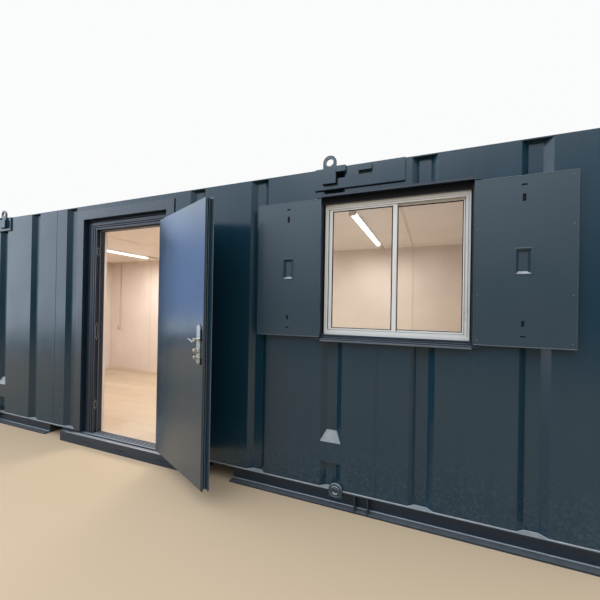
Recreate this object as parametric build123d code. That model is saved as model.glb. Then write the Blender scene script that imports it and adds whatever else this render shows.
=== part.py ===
import os

from build123d import *

os.makedirs("parts", exist_ok=True)

# Portable site cabin, millimetres, +Z up, ground at Z = 0.
# The front wall faces -Y, and +X is to the right of someone who faces it.

# Overall size
LENGTH = 7315.0
WIDTH = 2743.0
BODY_TOP = 2438.0
FLOOR_TOP = 110.0
ROOF_BUILD = 123.0

# Base frame
RAIL_H = 130.0
RAIL_DEPTH = 60.0
RAIL_PLATE = 8.0
RAIL_FOOT = 12.0
RAIL_LEDGE = 10.0
FLOOR_T = 22.0
FORK_X = 1040.0
FORK_W = 316.0
FORK_PLATE = 6.0
JOIST_W = 50.0
JOIST_INNER = 440.0
JOIST_OUTER_COUNT = 5
STIFFENER_T = 8.0
STIFFENER_FROM_EYE = (131.0, 221.0)

# Pressed steel wall
SKIN = 3.0
RIB_PITCH = 610.0
RIB_FIRST = 820.0
RIB_COUNT = 5
RIB_MOUTH = 156.0
RIB_FLOOR = 74.0
RIB_DEPTH = 36.0
POST = 80.0
POST_PLATE = 8.0
WALL_T = 140.0

# Closed stretch of the rib under each lifting point
LIFT_RIB_FROM_END = 3
CLOSURE_BOTTOM = 313.0
CLOSURE_FLAT = 147.0
CLOSURE_SLOPE = 80.0

# Roof
RIM_W = 90.0
RIM_PLATE = 8.0
ROOF_DROP = 40.0
ROOF_SHEET = 4.0
ROOF_RIB_H = 24.0
ROOF_RIB_PITCH = 205.0
ROOF_RIB_TOP = 70.0
ROOF_RIB_BASE = 110.0
CEILING_T = 12.0
PURLIN_W = 50.0
PURLIN_COUNT = 9

# Door opening and frame
DOOR_X = -73.0
DOOR_W = 1100.0
DOOR_HEAD = 142.0
TRIM_W = 90.0
TRIM_PROUD = 10.0
FRAME_BACK = 112.0
GROOVE_Y = 60.0
GROOVE_LEFT = 45.0
GROOVE_RIGHT = 22.0
GROOVE_TOP = 31.0
FACE_Y = 34.0
FACE_TOP = 73.0
FACE_LEFT = 95.0
FACE_RIGHT = 62.0
STOP_Y = 72.0
STOP_W = 18.0
STOP_HEAD = 12.0
KEEP_PLACES = (253.0, 1006.0, 1828.0)
KEEP_LENGTHS = (60.0, 130.0, 60.0)
KEEP_DEPTH = 15.0
KEEP_W = 18.0
KEEP_Y = 53.0

# Door leaf and hinges
PIVOT_INSET = 19.0
PIVOT_Y = 8.0
LEAF_GAP = 7.0
LEAF_RISE = 35.0
LEAF_FACE_Y = 18.0
LEAF_T = 45.0
LEAF_SKIN = 6.0
LEAF_OVERLAP = 43.0
LEAF_LIP = 5.0
SEAL_Y = 14.0
SEAL_W = 9.0
SEAL_DEPTH = 6.0
DOOR_OPEN = 155.0
HINGE_END = 240.0
HINGE_PIN_R = 6.0
HINGE_BARREL_R = 9.0
HINGE_LENGTH = 110.0
HINGE_PLATE = 6.0
HINGE_SET = 2.0
HINGE_SLACK = 2.0
PIN_FIT = 0.4

# Door handles, heights above the bottom of the leaf
PLATE_INSET = 58.0
PLATE_W = 54.0
PLATE_T = 8.0
PLATE_BOTTOM = 871.0
PLATE_TOP = 1155.0
PLATE_GABLE = 22.0
SPINDLE_UP = 1047.0
SPINDLE_R = 5.0
LEVER_FIT = 0.3
LEVER_OFFSET = 42.0
LEVER_LINE = ((0.0, 0.0, 9.0), (36.0, -9.0, 7.0), (64.0, -18.0, 6.0), (92.0, -5.0, 5.0), (112.0, 0.0, 3.0))
LEVER_T = 12.0
LEVER_HUB_R = 11.0
LOCK_R = 8.0
TURNS = ((958.0, 13.0), (912.0, 10.0))
TURN_OUT = 12.0
TURN_T = 6.0

# Door sill
SILL_PROUD = 40.0
SILL_STEP = 10.0
SILL_GAP = 1.0
SILL_PLATE = 2.0
SILL_SLOT_PITCH = 490.0
SILL_SLOT_L = 110.0
SILL_SLOT_H = 10.0
SILL_SLOT_Z = 42.0
RIDGE_COUNT = 4
RIDGE_START = 24.0
RIDGE_PITCH = 22.0
RIDGE_W = 6.0
RIDGE_H = 6.0

# Window
WINDOW_FROM_END = 1211.5
WINDOW_DROP = 259.0
WINDOW_W = 968.0
WINDOW_H = 942.0
SURROUND_T = 12.0
SURROUND_PROUD = 5.0
WINDOW_SET = 18.0
WINDOW_FRAME = 34.0
WINDOW_LIP = 20.0
WINDOW_STEP = 7.0
WINDOW_DEPTH = 60.0
SASH = 28.0
SASH_BEAD = 9.0
SASH_STEP = 4.0
SASH_T = 20.0
GLASS_T = 6.0
MEETING_X = 18.0
TRACK = 10.0
TRACK_GAP = 4.0

# Window head, ledge and shutters
LEDGE_PROUD = 45.0
HEAD_RISE = 43.0
HEAD_T = 18.0
HEAD_FALL = 6.0
LEDGE_DROP = 29.0
LEDGE_NOSE = 12.0
LEDGE_RIDGE_Y = 28.0
LEDGE_RIDGE_H = 11.0
LEDGE_T = 21.0
LEDGE_CHAMFER = 4.0
PIN_LAND = 4.0
LAND_PAST_PIN = 19.0
PIN_PLATE = 8.0
SHUTTER_COVER = 26.0
SHUTTER_T = 30.0
SHUTTER_UNDER = 8.0
SHUTTER_OVER = 7.0
SHUTTER_PIVOT = 12.5
SHUTTER_Y = 25.0
SHUTTER_MEET = 8.0
SHUTTER_PIN_R = 5.0
SHUTTER_PIN_L = 30.0
PIN_END = 5.0
PULL_W = 74.0
PULL_H = 143.0
PULL_DEPTH = 18.0
PULL_SLOPE = 15.0
PULL_RIM = 7.0
PULL_RIM_PROUD = 3.0
SLOT_DEPTH = 5.0
SLOTS = ((55.0, 28.0, 10.0), (130.0, 18.0, 44.0), (861.0, 16.0, 34.0), (936.0, 26.0, 10.0))

# Lifting gear
LUG_FROM_RIB = -30.0
LUG_W = 98.0
LUG_T = 14.0
LUG_EYE_UP = 36.0
LUG_HOLE_R = 27.0
LUG_FOOT_DOWN = 120.0
LUG_PAD_H = 92.0
LUG_PAD_T = 12.0
TABS = ((2.0, 68.0, 24.0, 0.0, 42.0, 38.0), (160.0, 92.0, 18.0, 18.0, 34.0, 24.0))
COVER_LEFT = 113.0
COVER_RIGHT = 518.0
COVER_DOWN = 153.0
COVER_T = 12.0
LOW_EYE_FROM_RIB = 50.0
LOW_EYE_Z = 136.0
LOW_EYE_HOLE_R = 20.0
LOW_EYE_T = 15.0
LOW_EYE_SHANK = 80.0
LOW_EYE_SEAT = 10.0

# Inside
BOARD_GAP = 2.0
LIGHT_FROM_END = 1627.5
LIGHT_L = 1500.0
LIGHT_W = 60.0
LIGHT_BODY = 32.0
LIGHT_R = 20.0
SKIRTING_H = 60.0
SKIRTING_T = 12.0
ARCHITRAVE = 60.0
REVEAL_TRIM = 40.0
REVEAL_TRIM_T = 10.0
CONDUIT_FROM_END = 412.5
CONDUIT_W = 25.0
CONDUIT_T = 16.0
BOX_W = 90.0
BOX_T = 40.0
BOX_UP = 902.0

HALF_L = LENGTH / 2
HALF_W = WIDTH / 2
FRONT = -HALF_W
RIM_UNDER = BODY_TOP - RIM_PLATE
CEILING_UNDER = BODY_TOP - ROOF_BUILD
SILL_TOP = FLOOR_TOP - SILL_STEP
DOOR_LEFT = DOOR_X - DOOR_W / 2
DOOR_RIGHT = DOOR_X + DOOR_W / 2
DOOR_TOP = BODY_TOP - DOOR_HEAD


def ribs_along(half):
    """Rib centres on both sides of the middle that fit inside half the wall."""
    right = [RIB_FIRST + RIB_PITCH * i for i in range(RIB_COUNT)]
    right = [x for x in right if x + RIB_MOUTH / 2 < half - POST]
    return sorted([-x for x in right] + right)


long_ribs = ribs_along(HALF_L)
LIFT_X = long_ribs[-LIFT_RIB_FROM_END]
LUG_X = LIFT_X + LUG_FROM_RIB
LOW_EYE_X = LIFT_X + LOW_EYE_FROM_RIB


# Ways to make and place a piece
def block(x0, x1, y0, y1, z0, z1):
    """A plain block between two corners."""
    centre = ((x0 + x1) / 2, (y0 + y1) / 2, (z0 + z1) / 2)
    return Pos(*centre) * Box(abs(x1 - x0), abs(y1 - y0), abs(z1 - z0))


def plan(points, z0, z1):
    """A plan outline in X and Y raised from z0 to z1."""
    face = make_face(Polyline(*[(x, y, z0) for x, y in points], close=True))
    return extrude(face, amount=z1 - z0, dir=(0, 0, 1))


def along(points, x0, x1):
    """A section in Y and Z carried along X from x0 to x1."""
    face = make_face(Polyline(*[(x0, y, z) for y, z in points], close=True))
    return extrude(face, amount=x1 - x0, dir=(1, 0, 0))


def ring(x0, x1, y0, y1, z0, z1, width):
    """An upright rectangular frame of one width."""
    return block(x0, x1, y0, y1, z0, z1) - block(x0 + width, x1 - width, y0, y1, z0 + width, z1 - width)


def front(shape):
    """Carry a shape drawn on Y = 0 to the front wall."""
    return Pos(0, FRONT, 0) * shape


def rear(shape):
    """Carry a shape drawn on Y = 0 to the rear wall, turned to face outwards."""
    return Rot(0, 0, 180) * front(shape)


def end(shape, side):
    """Carry a shape drawn on Y = 0 to an end wall: side -1 is left and +1 is right."""
    return Rot(0, 0, 90 * side) * Pos(0, -HALF_L, 0) * shape


def four(shape):
    """Repeat a right-hand front piece at the four lifting points."""
    pair = [front(shape), mirror(front(shape), about=Plane.YZ)]
    return Compound(children=pair + [mirror(one, about=Plane.XZ) for one in pair])


def save(name, shape):
    """Write one node of the cabin."""
    export_step(Compound(children=list(shape.solids()), label=name), f"parts/{name}.step")


# Base frame: an outward channel with stiffeners, carried over the fork pockets as an angle
fork_in = FORK_X - FORK_W / 2
fork_out = FORK_X + FORK_W / 2
web_y = RAIL_DEPTH - RAIL_PLATE
flange_under = RAIL_H - RAIL_PLATE
rail_section = [
    (-RAIL_LEDGE, RAIL_H), (RAIL_DEPTH, RAIL_H), (RAIL_DEPTH, 0), (-RAIL_LEDGE, 0),
    (-RAIL_LEDGE, RAIL_FOOT), (web_y, RAIL_FOOT), (web_y, flange_under), (-RAIL_LEDGE, flange_under),
]
bridge_section = [
    (-RAIL_LEDGE, RAIL_H), (RAIL_DEPTH, RAIL_H), (RAIL_DEPTH, SILL_TOP), (web_y, SILL_TOP),
    (web_y, flange_under), (-RAIL_LEDGE, flange_under),
]
rail_end = HALF_L + RAIL_LEDGE
outer_rail = along(rail_section, fork_out, rail_end)
for away in STIFFENER_FROM_EYE:
    stiffener_x = LOW_EYE_X + away
    outer_rail += block(stiffener_x, stiffener_x + STIFFENER_T, -RAIL_LEDGE, web_y, RAIL_FOOT, flange_under)
left_rail = mirror(outer_rail, about=Plane.YZ)
save("base_rail_front", front(Compound(children=[left_rail, outer_rail])))
middle_rail = along(rail_section, -fork_in, fork_in)
save("base_rail_rear", rear(Compound(children=[left_rail, middle_rail, outer_rail])))
front_bridges = [along(bridge_section, -fork_out, DOOR_LEFT), along(bridge_section, DOOR_RIGHT, fork_out)]
rear_bridges = [along(bridge_section, -fork_out, -fork_in), along(bridge_section, fork_in, fork_out)]
bridges = [front(one) for one in front_bridges] + [rear(one) for one in rear_bridges]
save("fork_pocket_heads", Compound(children=bridges))

floor_half_w = HALF_W - RAIL_DEPTH
end_rail = along(rail_section, -floor_half_w, floor_half_w)
save("base_rails_end", end(end_rail, -1) + end(end_rail, 1))

sill_half = fork_in - SILL_GAP
beam = block(-sill_half, sill_half, -SILL_PROUD, RAIL_DEPTH, 0, SILL_TOP)
beam -= block(
    -sill_half, sill_half, RAIL_PLATE - SILL_PROUD, RAIL_DEPTH, RAIL_PLATE, SILL_TOP - RAIL_PLATE
)
for i in (-1, 0, 1):
    slot_x = i * SILL_SLOT_PITCH
    beam -= block(
        slot_x - SILL_SLOT_L / 2, slot_x + SILL_SLOT_L / 2, -SILL_PROUD, RAIL_PLATE - SILL_PROUD,
        SILL_SLOT_Z - SILL_SLOT_H / 2, SILL_SLOT_Z + SILL_SLOT_H / 2,
    )
save("door_sill_beam", front(beam))

floor_under = FLOOR_TOP - FLOOR_T
pocket_sides = []
for side in (-1, 1):
    for edge in (fork_in - FORK_PLATE, fork_out):
        x0 = side * edge
        x1 = side * (edge + FORK_PLATE)
        pocket_sides.append(block(x0, x1, -floor_half_w, floor_half_w, 0, floor_under))
save("fork_pocket_sides", Compound(children=pocket_sides))

floor_half_l = HALF_L - RAIL_DEPTH
joist_start = fork_out + FORK_PLATE + JOIST_W
joist_step = (floor_half_l - JOIST_W / 2 - joist_start) / (JOIST_OUTER_COUNT - 1)
outer_joists = [joist_start + i * joist_step for i in range(JOIST_OUTER_COUNT)]
joist_places = [0.0]
for x in [JOIST_INNER] + outer_joists:
    joist_places += [-x, x]
joists = [
    block(x - JOIST_W / 2, x + JOIST_W / 2, -floor_half_w, floor_half_w, 0, floor_under)
    for x in joist_places
]
save("floor_joists", Compound(children=joists))
save("floor", block(-floor_half_l, floor_half_l, -floor_half_w, floor_half_w, floor_under, FLOOR_TOP))


# Wall sheets with pressed ribs
def rib_path(start, stop, centres, inset):
    """The pressed line of a wall sheet in plan, from start to stop along the wall."""
    points = [(start, inset)]
    for centre in centres:
        if start < centre - RIB_MOUTH / 2 and centre + RIB_MOUTH / 2 < stop:
            points += [
                (centre - RIB_MOUTH / 2, inset),
                (centre - RIB_FLOOR / 2, inset + RIB_DEPTH),
                (centre + RIB_FLOOR / 2, inset + RIB_DEPTH),
                (centre + RIB_MOUTH / 2, inset),
            ]
    return points + [(stop, inset)]


def wall_sheet(half, centres, start, stop, z0, z1):
    """The sheet from start to stop of a ribbed wall: outer face on Y = 0 and ribs towards +Y."""
    outer = rib_path(-half, half, centres, 0.0)
    inner = rib_path(-half, half, centres, SKIN)
    return plan(outer + inner[::-1], z0, z1) & block(start, stop, 0, SKIN + RIB_DEPTH, z0, z1)


wall_bottom = RAIL_H
wall_top = RIM_UNDER
post_in = HALF_L - POST
WINDOW_X = HALF_L - WINDOW_FROM_END
win_left = WINDOW_X - WINDOW_W / 2
win_right = WINDOW_X + WINDOW_W / 2
win_top = BODY_TOP - WINDOW_DROP
win_bottom = win_top - WINDOW_H
hole_left = win_left - SURROUND_T
hole_right = win_right + SURROUND_T
hole_bottom = win_bottom - SURROUND_T
hole_top = win_top + SURROUND_T

front_sheets = {
    "front_wall_left": (-post_in, DOOR_LEFT, wall_bottom, wall_top),
    "front_wall_over_door": (DOOR_LEFT, DOOR_RIGHT, DOOR_TOP, wall_top),
    "front_wall_middle": (DOOR_RIGHT, hole_left, wall_bottom, wall_top),
    "front_wall_over_window": (hole_left, hole_right, hole_top, wall_top),
    "front_wall_under_window": (hole_left, hole_right, wall_bottom, hole_bottom),
    "front_wall_right": (hole_right, post_in, wall_bottom, wall_top),
}
for sheet_name, (x0, x1, z0, z1) in front_sheets.items():
    save(sheet_name, front(wall_sheet(post_in, long_ribs, x0, x1, z0, z1)))

save("rear_wall", rear(wall_sheet(post_in, long_ribs, -post_in, post_in, wall_bottom, wall_top)))

end_in = HALF_W - POST
end_ribs = [(i - 1.5) * RIB_PITCH for i in range(4)]
end_sheet = wall_sheet(end_in, end_ribs, -end_in, end_in, wall_bottom, wall_top)
save("end_walls", end(end_sheet, -1) + end(end_sheet, 1))

closure_knee = CLOSURE_BOTTOM + CLOSURE_FLAT
closure_top = closure_knee + CLOSURE_SLOPE
closure_section = [
    (0, CLOSURE_BOTTOM), (0, closure_knee), (RIB_DEPTH, closure_top),
    (RIB_DEPTH, closure_top - 2 * SKIN), (SKIN, closure_knee - SKIN), (SKIN, CLOSURE_BOTTOM),
]
rib_mouth = rib_path(LIFT_X - RIB_MOUTH, LIFT_X + RIB_MOUTH, [LIFT_X], 0.0)[1:-1]
closure = along(closure_section, LIFT_X - RIB_MOUTH / 2, LIFT_X + RIB_MOUTH / 2)
closure &= plan(rib_mouth, CLOSURE_BOTTOM, closure_top)
save("rib_closures", four(closure))

post = block(0, POST, 0, POST, wall_bottom, wall_top)
post -= block(POST_PLATE, POST - POST_PLATE, POST_PLATE, POST - POST_PLATE, wall_bottom, wall_top)
posts = [
    Pos(x, y, 0) * post
    for x in (-HALF_L, HALF_L - POST)
    for y in (-HALF_W, HALF_W - POST)
]
save("corner_posts", Compound(children=posts))

# Insulated linings
lining_out = SKIN + RIB_DEPTH
lining_end = post_in - BOARD_GAP
front_linings = {
    "front_lining_left": [(-lining_end, DOOR_LEFT, RAIL_H, CEILING_UNDER)],
    "front_lining_middle": [(DOOR_RIGHT, hole_left, RAIL_H, CEILING_UNDER)],
    "front_lining_window": [
        (hole_left, hole_right, hole_top, CEILING_UNDER),
        (hole_left, hole_right, RAIL_H, hole_bottom),
    ],
    "front_lining_right": [(hole_right, lining_end, RAIL_H, CEILING_UNDER)],
}
for lining_name, spans in front_linings.items():
    boards = [block(x0, x1, lining_out, WALL_T, z0, z1) for x0, x1, z0, z1 in spans]
    save(lining_name, front(Compound(children=boards)))
save("rear_lining", rear(block(-lining_end, lining_end, lining_out, WALL_T, RAIL_H, CEILING_UNDER)))
end_lining_half = HALF_W - WALL_T
end_lining = block(-end_lining_half, end_lining_half, lining_out, WALL_T, RAIL_H, CEILING_UNDER)
save("end_linings", end(end_lining, -1) + end(end_lining, 1))

# Roof: an edge plate with a kerb, and a trapezoid sheet inside it
inner_l = HALF_L - RIM_W
inner_w = HALF_W - RIM_W
roof_low = BODY_TOP - ROOF_DROP
rim = block(-HALF_L, HALF_L, -HALF_W, HALF_W, RIM_UNDER, BODY_TOP)
rim += block(
    -inner_l - RIM_PLATE, inner_l + RIM_PLATE, -inner_w - RIM_PLATE, inner_w + RIM_PLATE, roof_low, BODY_TOP
)
rim -= block(-inner_l, inner_l, -inner_w, inner_w, roof_low, BODY_TOP)
save("roof_rim", rim)

rib_slope = (ROOF_RIB_BASE - ROOF_RIB_TOP) / 2
roof_ribs = int((2 * inner_l - ROOF_RIB_BASE) // ROOF_RIB_PITCH)
roof_start = -roof_ribs * ROOF_RIB_PITCH / 2


def roof_line(lift):
    """The trapezoid line of the roof sheet seen from the front."""
    points = [(-inner_l, lift)]
    for i in range(roof_ribs + 1):
        x = roof_start + i * ROOF_RIB_PITCH
        points += [
            (x - ROOF_RIB_BASE / 2, lift),
            (x - ROOF_RIB_BASE / 2 + rib_slope, lift + ROOF_RIB_H),
            (x + ROOF_RIB_BASE / 2 - rib_slope, lift + ROOF_RIB_H),
            (x + ROOF_RIB_BASE / 2, lift),
        ]
    return points + [(inner_l, lift)]


roof_outline = roof_line(roof_low + ROOF_SHEET) + roof_line(roof_low)[::-1]
roof_face = make_face(Polyline(*[(x, -inner_w, z) for x, z in roof_outline], close=True))
save("roof", extrude(roof_face, amount=2 * inner_w, dir=(0, 1, 0)))

ceiling_top = CEILING_UNDER + CEILING_T
ceiling_half_w = HALF_W - lining_out
ceiling = block(-lining_end, lining_end, -ceiling_half_w, ceiling_half_w, CEILING_UNDER, ceiling_top)
post_hole = 2 * (POST + BOARD_GAP)
for x in (-HALF_L, HALF_L):
    for y in (-HALF_W, HALF_W):
        ceiling -= Pos(x, y, CEILING_UNDER) * Box(post_hole, post_hole, 4 * CEILING_T)
save("ceiling", ceiling)

purlin_pitch = 2 * (inner_l - PURLIN_W) / (PURLIN_COUNT - 1)
purlin_places = [(i - (PURLIN_COUNT - 1) / 2) * purlin_pitch for i in range(PURLIN_COUNT)]
purlins = [
    block(x - PURLIN_W / 2, x + PURLIN_W / 2, -inner_w, inner_w, ceiling_top, roof_low)
    for x in purlin_places
]
save("roof_purlins", Compound(children=purlins))


# Door surround: flat trim, stepped frame with a stop, lining and threshold
def portal(left, right, top, bottom, steps, y0, y1):
    """An upside-down U round the doorway: steps are its left, right and top widths."""
    outer = block(left, right, y0, y1, bottom, top)
    return outer - block(left + steps[0], right - steps[1], y0, y1, bottom, top - steps[2])


trim = portal(
    DOOR_LEFT - TRIM_W, DOOR_RIGHT + TRIM_W, DOOR_TOP + TRIM_W, RAIL_H,
    (TRIM_W, TRIM_W, TRIM_W), -TRIM_PROUD, 0,
)
save("door_trim", front(trim))

floor_line = FLOOR_TOP + SILL_PLATE
face_left = DOOR_LEFT + GROOVE_LEFT
face_right = DOOR_RIGHT - GROOVE_RIGHT
face_top = DOOR_TOP - GROOVE_TOP
jamb_left = face_left + FACE_LEFT
jamb_right = face_right - FACE_RIGHT
head_under = face_top - FACE_TOP
leaf_bottom = FLOOR_TOP + LEAF_RISE
frame = portal(DOOR_LEFT, DOOR_RIGHT, DOOR_TOP, floor_line, (SKIN, SKIN, SKIN), SKIN, GROOVE_Y)
frame += portal(
    DOOR_LEFT, DOOR_RIGHT, DOOR_TOP, floor_line, (GROOVE_LEFT, GROOVE_RIGHT, GROOVE_TOP),
    GROOVE_Y, FRAME_BACK,
)
frame += portal(
    face_left, face_right, face_top, floor_line, (FACE_LEFT, FACE_RIGHT, FACE_TOP), FACE_Y, FRAME_BACK
)
frame += portal(
    jamb_left, jamb_right, head_under, floor_line, (STOP_W, STOP_W, STOP_HEAD), STOP_Y, FRAME_BACK
)
for keep_up, keep_l in zip(KEEP_PLACES, KEEP_LENGTHS):
    keep_z = leaf_bottom + keep_up
    frame -= block(
        jamb_left - KEEP_DEPTH, jamb_left, KEEP_Y - KEEP_W / 2, KEEP_Y + KEEP_W / 2,
        keep_z - keep_l / 2, keep_z + keep_l / 2,
    )
save("door_frame", front(frame))

door_lining = portal(
    DOOR_LEFT, DOOR_RIGHT, CEILING_UNDER, FLOOR_TOP,
    (jamb_left - DOOR_LEFT, DOOR_RIGHT - jamb_right, CEILING_UNDER - head_under), FRAME_BACK, WALL_T,
)
door_lining += block(DOOR_LEFT, DOOR_RIGHT, lining_out, FRAME_BACK, DOOR_TOP, CEILING_UNDER)
door_lining += portal(
    jamb_left - ARCHITRAVE, jamb_right + ARCHITRAVE, head_under + ARCHITRAVE, FLOOR_TOP,
    (ARCHITRAVE, ARCHITRAVE, ARCHITRAVE), WALL_T, WALL_T + SKIRTING_T,
)
save("door_lining", front(door_lining))

threshold = block(DOOR_LEFT, DOOR_RIGHT, 0, RAIL_DEPTH, SILL_TOP, floor_line)
threshold += block(DOOR_LEFT, DOOR_RIGHT, RAIL_DEPTH, FRAME_BACK, FLOOR_TOP, floor_line)
for i in range(RIDGE_COUNT):
    y = RIDGE_START + i * RIDGE_PITCH
    threshold += block(
        jamb_left + STOP_W, jamb_right - STOP_W, y, y + RIDGE_W, floor_line, floor_line + RIDGE_H
    )
save("threshold", front(threshold))

# Door leaf, drawn closed and then swung open about its pins
pivot_x = face_right - PIVOT_INSET
leaf_right = jamb_right - LEAF_GAP
leaf_left = jamb_left + LEAF_GAP
leaf_top = head_under - LEAF_GAP
leaf_inner = LEAF_FACE_Y + LEAF_T
skin_right = leaf_right + LEAF_OVERLAP
skin_left = leaf_left - LEAF_OVERLAP
skin_back = LEAF_FACE_Y + LEAF_SKIN
barrel_l = HINGE_LENGTH / 2 - HINGE_SLACK
hinge_heights = (leaf_bottom + HINGE_END, (leaf_bottom + leaf_top) / 2, leaf_top - HINGE_END)


def swing(shape):
    """Turn a piece of the closed door to the open rest place."""
    pivot = Pos(pivot_x, FRONT + PIVOT_Y, 0)
    return pivot * Rot(0, 0, DOOR_OPEN) * pivot.inverse() * shape


leaf = block(leaf_left, leaf_right, LEAF_FACE_Y, leaf_inner, leaf_bottom, leaf_top)
seal_y = skin_back + SEAL_Y
leaf -= portal(
    leaf_left, leaf_right, leaf_top, leaf_bottom, (SEAL_DEPTH, SEAL_DEPTH, SEAL_DEPTH),
    seal_y, seal_y + SEAL_W,
)
leaf += block(skin_left, skin_right, LEAF_FACE_Y, skin_back, leaf_bottom, leaf_top)
leaf += block(skin_left, skin_left + LEAF_LIP, LEAF_FACE_Y, skin_back + LEAF_LIP, leaf_bottom, leaf_top)
notch_half = HINGE_LENGTH / 2 + LEAF_GAP
for hinge_z in hinge_heights:
    leaf -= block(
        leaf_right, skin_right, LEAF_FACE_Y, skin_back, hinge_z - notch_half, hinge_z + notch_half
    )
    leaf += block(
        leaf_right, pivot_x, LEAF_FACE_Y, LEAF_FACE_Y + HINGE_PLATE, hinge_z, hinge_z + barrel_l
    )
    neck = pivot_x - HINGE_BARREL_R
    leaf += block(neck, pivot_x, PIVOT_Y, LEAF_FACE_Y + HINGE_PLATE, hinge_z, hinge_z + barrel_l)
    barrel_place = Pos(pivot_x, PIVOT_Y, hinge_z + barrel_l / 2)
    leaf += barrel_place * Cylinder(HINGE_BARREL_R, barrel_l)
    leaf -= barrel_place * Cylinder(HINGE_PIN_R + PIN_FIT, 2 * barrel_l)
spindle_x = leaf_left + PLATE_INSET
spindle_z = leaf_bottom + SPINDLE_UP
leaf -= Pos(spindle_x, LEAF_FACE_Y + LEAF_T / 2, spindle_z) * Rot(90, 0, 0) * Cylinder(LOCK_R, 2 * LEAF_T)
save("door_leaf", swing(front(leaf)))

pins = []
for hinge_z in hinge_heights:
    low = hinge_z - HINGE_LENGTH / 2
    pin = Pos(pivot_x, PIVOT_Y, hinge_z) * Cylinder(HINGE_PIN_R, HINGE_LENGTH)
    pin += Pos(pivot_x, PIVOT_Y, low + barrel_l / 2) * Cylinder(HINGE_BARREL_R, barrel_l)
    arm_y = PIVOT_Y + HINGE_SET
    arm_end = face_right - HINGE_SET
    pin += block(pivot_x, arm_end, arm_y, arm_y + HINGE_PLATE, low, low + barrel_l)
    pin += block(arm_end - HINGE_PLATE, arm_end, arm_y, FACE_Y, low, low + barrel_l)
    pins.append(pin)
save("door_hinges", front(Compound(children=pins)))


# Handle plates with a gabled top and a round foot, and the levers on one spindle
def handle_plate(inwards):
    """A long plate on Y = 0 that grows along Y by its thickness, with two barrels and their turns."""
    half = PLATE_W / 2
    foot = leaf_bottom + PLATE_BOTTOM + half
    shoulder = leaf_bottom + PLATE_TOP - PLATE_GABLE
    corners = [(-half, foot), (-half, shoulder), (0, shoulder + PLATE_GABLE), (half, shoulder), (half, foot)]
    sides = Polyline(*[(x, 0, z) for x, z in corners])
    arc = ThreePointArc((half, 0, foot), (0, 0, foot - half), (-half, 0, foot))
    body = extrude(make_face(sides + arc), amount=PLATE_T, dir=(0, inwards, 0))
    reach = PLATE_T + TURN_OUT
    for up, radius in TURNS:
        body += Pos(0, inwards * reach / 2, leaf_bottom + up) * Rot(90, 0, 0) * Cylinder(LOCK_R, reach)
        body += Pos(0, inwards * reach, leaf_bottom + up) * Rot(0, 90, 0) * Cylinder(radius, TURN_T)
    return body - Pos(0, 0, spindle_z) * Rot(90, 0, 0) * Cylinder(SPINDLE_R + LEVER_FIT, 4 * PLATE_T)


plates = [
    Pos(spindle_x, leaf_inner, 0) * handle_plate(1),
    Pos(spindle_x, LEAF_FACE_Y, 0) * handle_plate(-1),
]
save("handle_plates", swing(front(Compound(children=plates))))


def grip(y):
    """A wavy grip: LEVER_LINE gives its middle line and half its height along the way."""
    upper = [(spindle_x + x, y, spindle_z + z + half) for x, z, half in LEVER_LINE]
    lower = [(spindle_x + x, y, spindle_z + z - half) for x, z, half in reversed(LEVER_LINE)]
    outline = Spline(*upper) + Line(upper[-1], lower[0]) + Spline(*lower) + Line(lower[-1], upper[0])
    return extrude(make_face(outline), amount=LEVER_T / 2, dir=(0, 1, 0), both=True)


lever_in = leaf_inner + LEVER_OFFSET
lever_out = LEAF_FACE_Y - LEVER_OFFSET
spindle_mid = Pos(spindle_x, (lever_in + lever_out) / 2, spindle_z) * Rot(90, 0, 0)
lever = spindle_mid * Cylinder(SPINDLE_R, lever_in - lever_out)
for lever_y in (lever_in, lever_out):
    lever += grip(lever_y)
    lever += Pos(spindle_x, lever_y, spindle_z) * Rot(90, 0, 0) * Cylinder(LEVER_HUB_R, LEVER_T)
save("door_lever", swing(front(lever)))

# Window
surround = ring(hole_left, hole_right, -SURROUND_PROUD, WALL_T, hole_bottom, hole_top, SURROUND_T)
surround += ring(
    win_left - REVEAL_TRIM, win_right + REVEAL_TRIM, WALL_T, WALL_T + REVEAL_TRIM_T,
    win_bottom - REVEAL_TRIM, win_top + REVEAL_TRIM, REVEAL_TRIM,
)
save("window_surround", front(surround))

frame_back = WINDOW_SET + WINDOW_DEPTH
win_frame = ring(win_left, win_right, WINDOW_SET, frame_back, win_bottom, win_top, WINDOW_LIP)
win_frame += ring(
    win_left, win_right, WINDOW_SET + WINDOW_STEP, frame_back, win_bottom, win_top, WINDOW_FRAME
)
save("window_frame", front(win_frame))

pane_left = win_left + WINDOW_FRAME
pane_right = win_right - WINDOW_FRAME
pane_bottom = win_bottom + WINDOW_FRAME
pane_top = win_top - WINDOW_FRAME
meet = WINDOW_X + MEETING_X
front_track = WINDOW_SET + TRACK
back_track = front_track + SASH_T + TRACK_GAP


def sash(x0, x1, y0):
    """A sliding window leaf with a stepped glazing bead."""
    body = ring(x0, x1, y0, y0 + SASH_T, pane_bottom, pane_top, SASH - SASH_BEAD)
    return body + ring(x0, x1, y0 + SASH_STEP, y0 + SASH_T - SASH_STEP, pane_bottom, pane_top, SASH)


sashes = [sash(pane_left, meet + SASH / 2, front_track), sash(meet - SASH / 2, pane_right, back_track)]
save("window_sashes", front(Compound(children=sashes)))

glass_inset = (SASH_T - GLASS_T) / 2
panes = [
    block(x0 + SASH, x1 - SASH, y, y + GLASS_T, pane_bottom + SASH, pane_top - SASH)
    for x0, x1, y in (
        (pane_left, meet + SASH / 2, front_track + glass_inset),
        (meet - SASH / 2, pane_right, back_track + glass_inset),
    )
]
save("window_glass", front(Compound(children=panes)))

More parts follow.
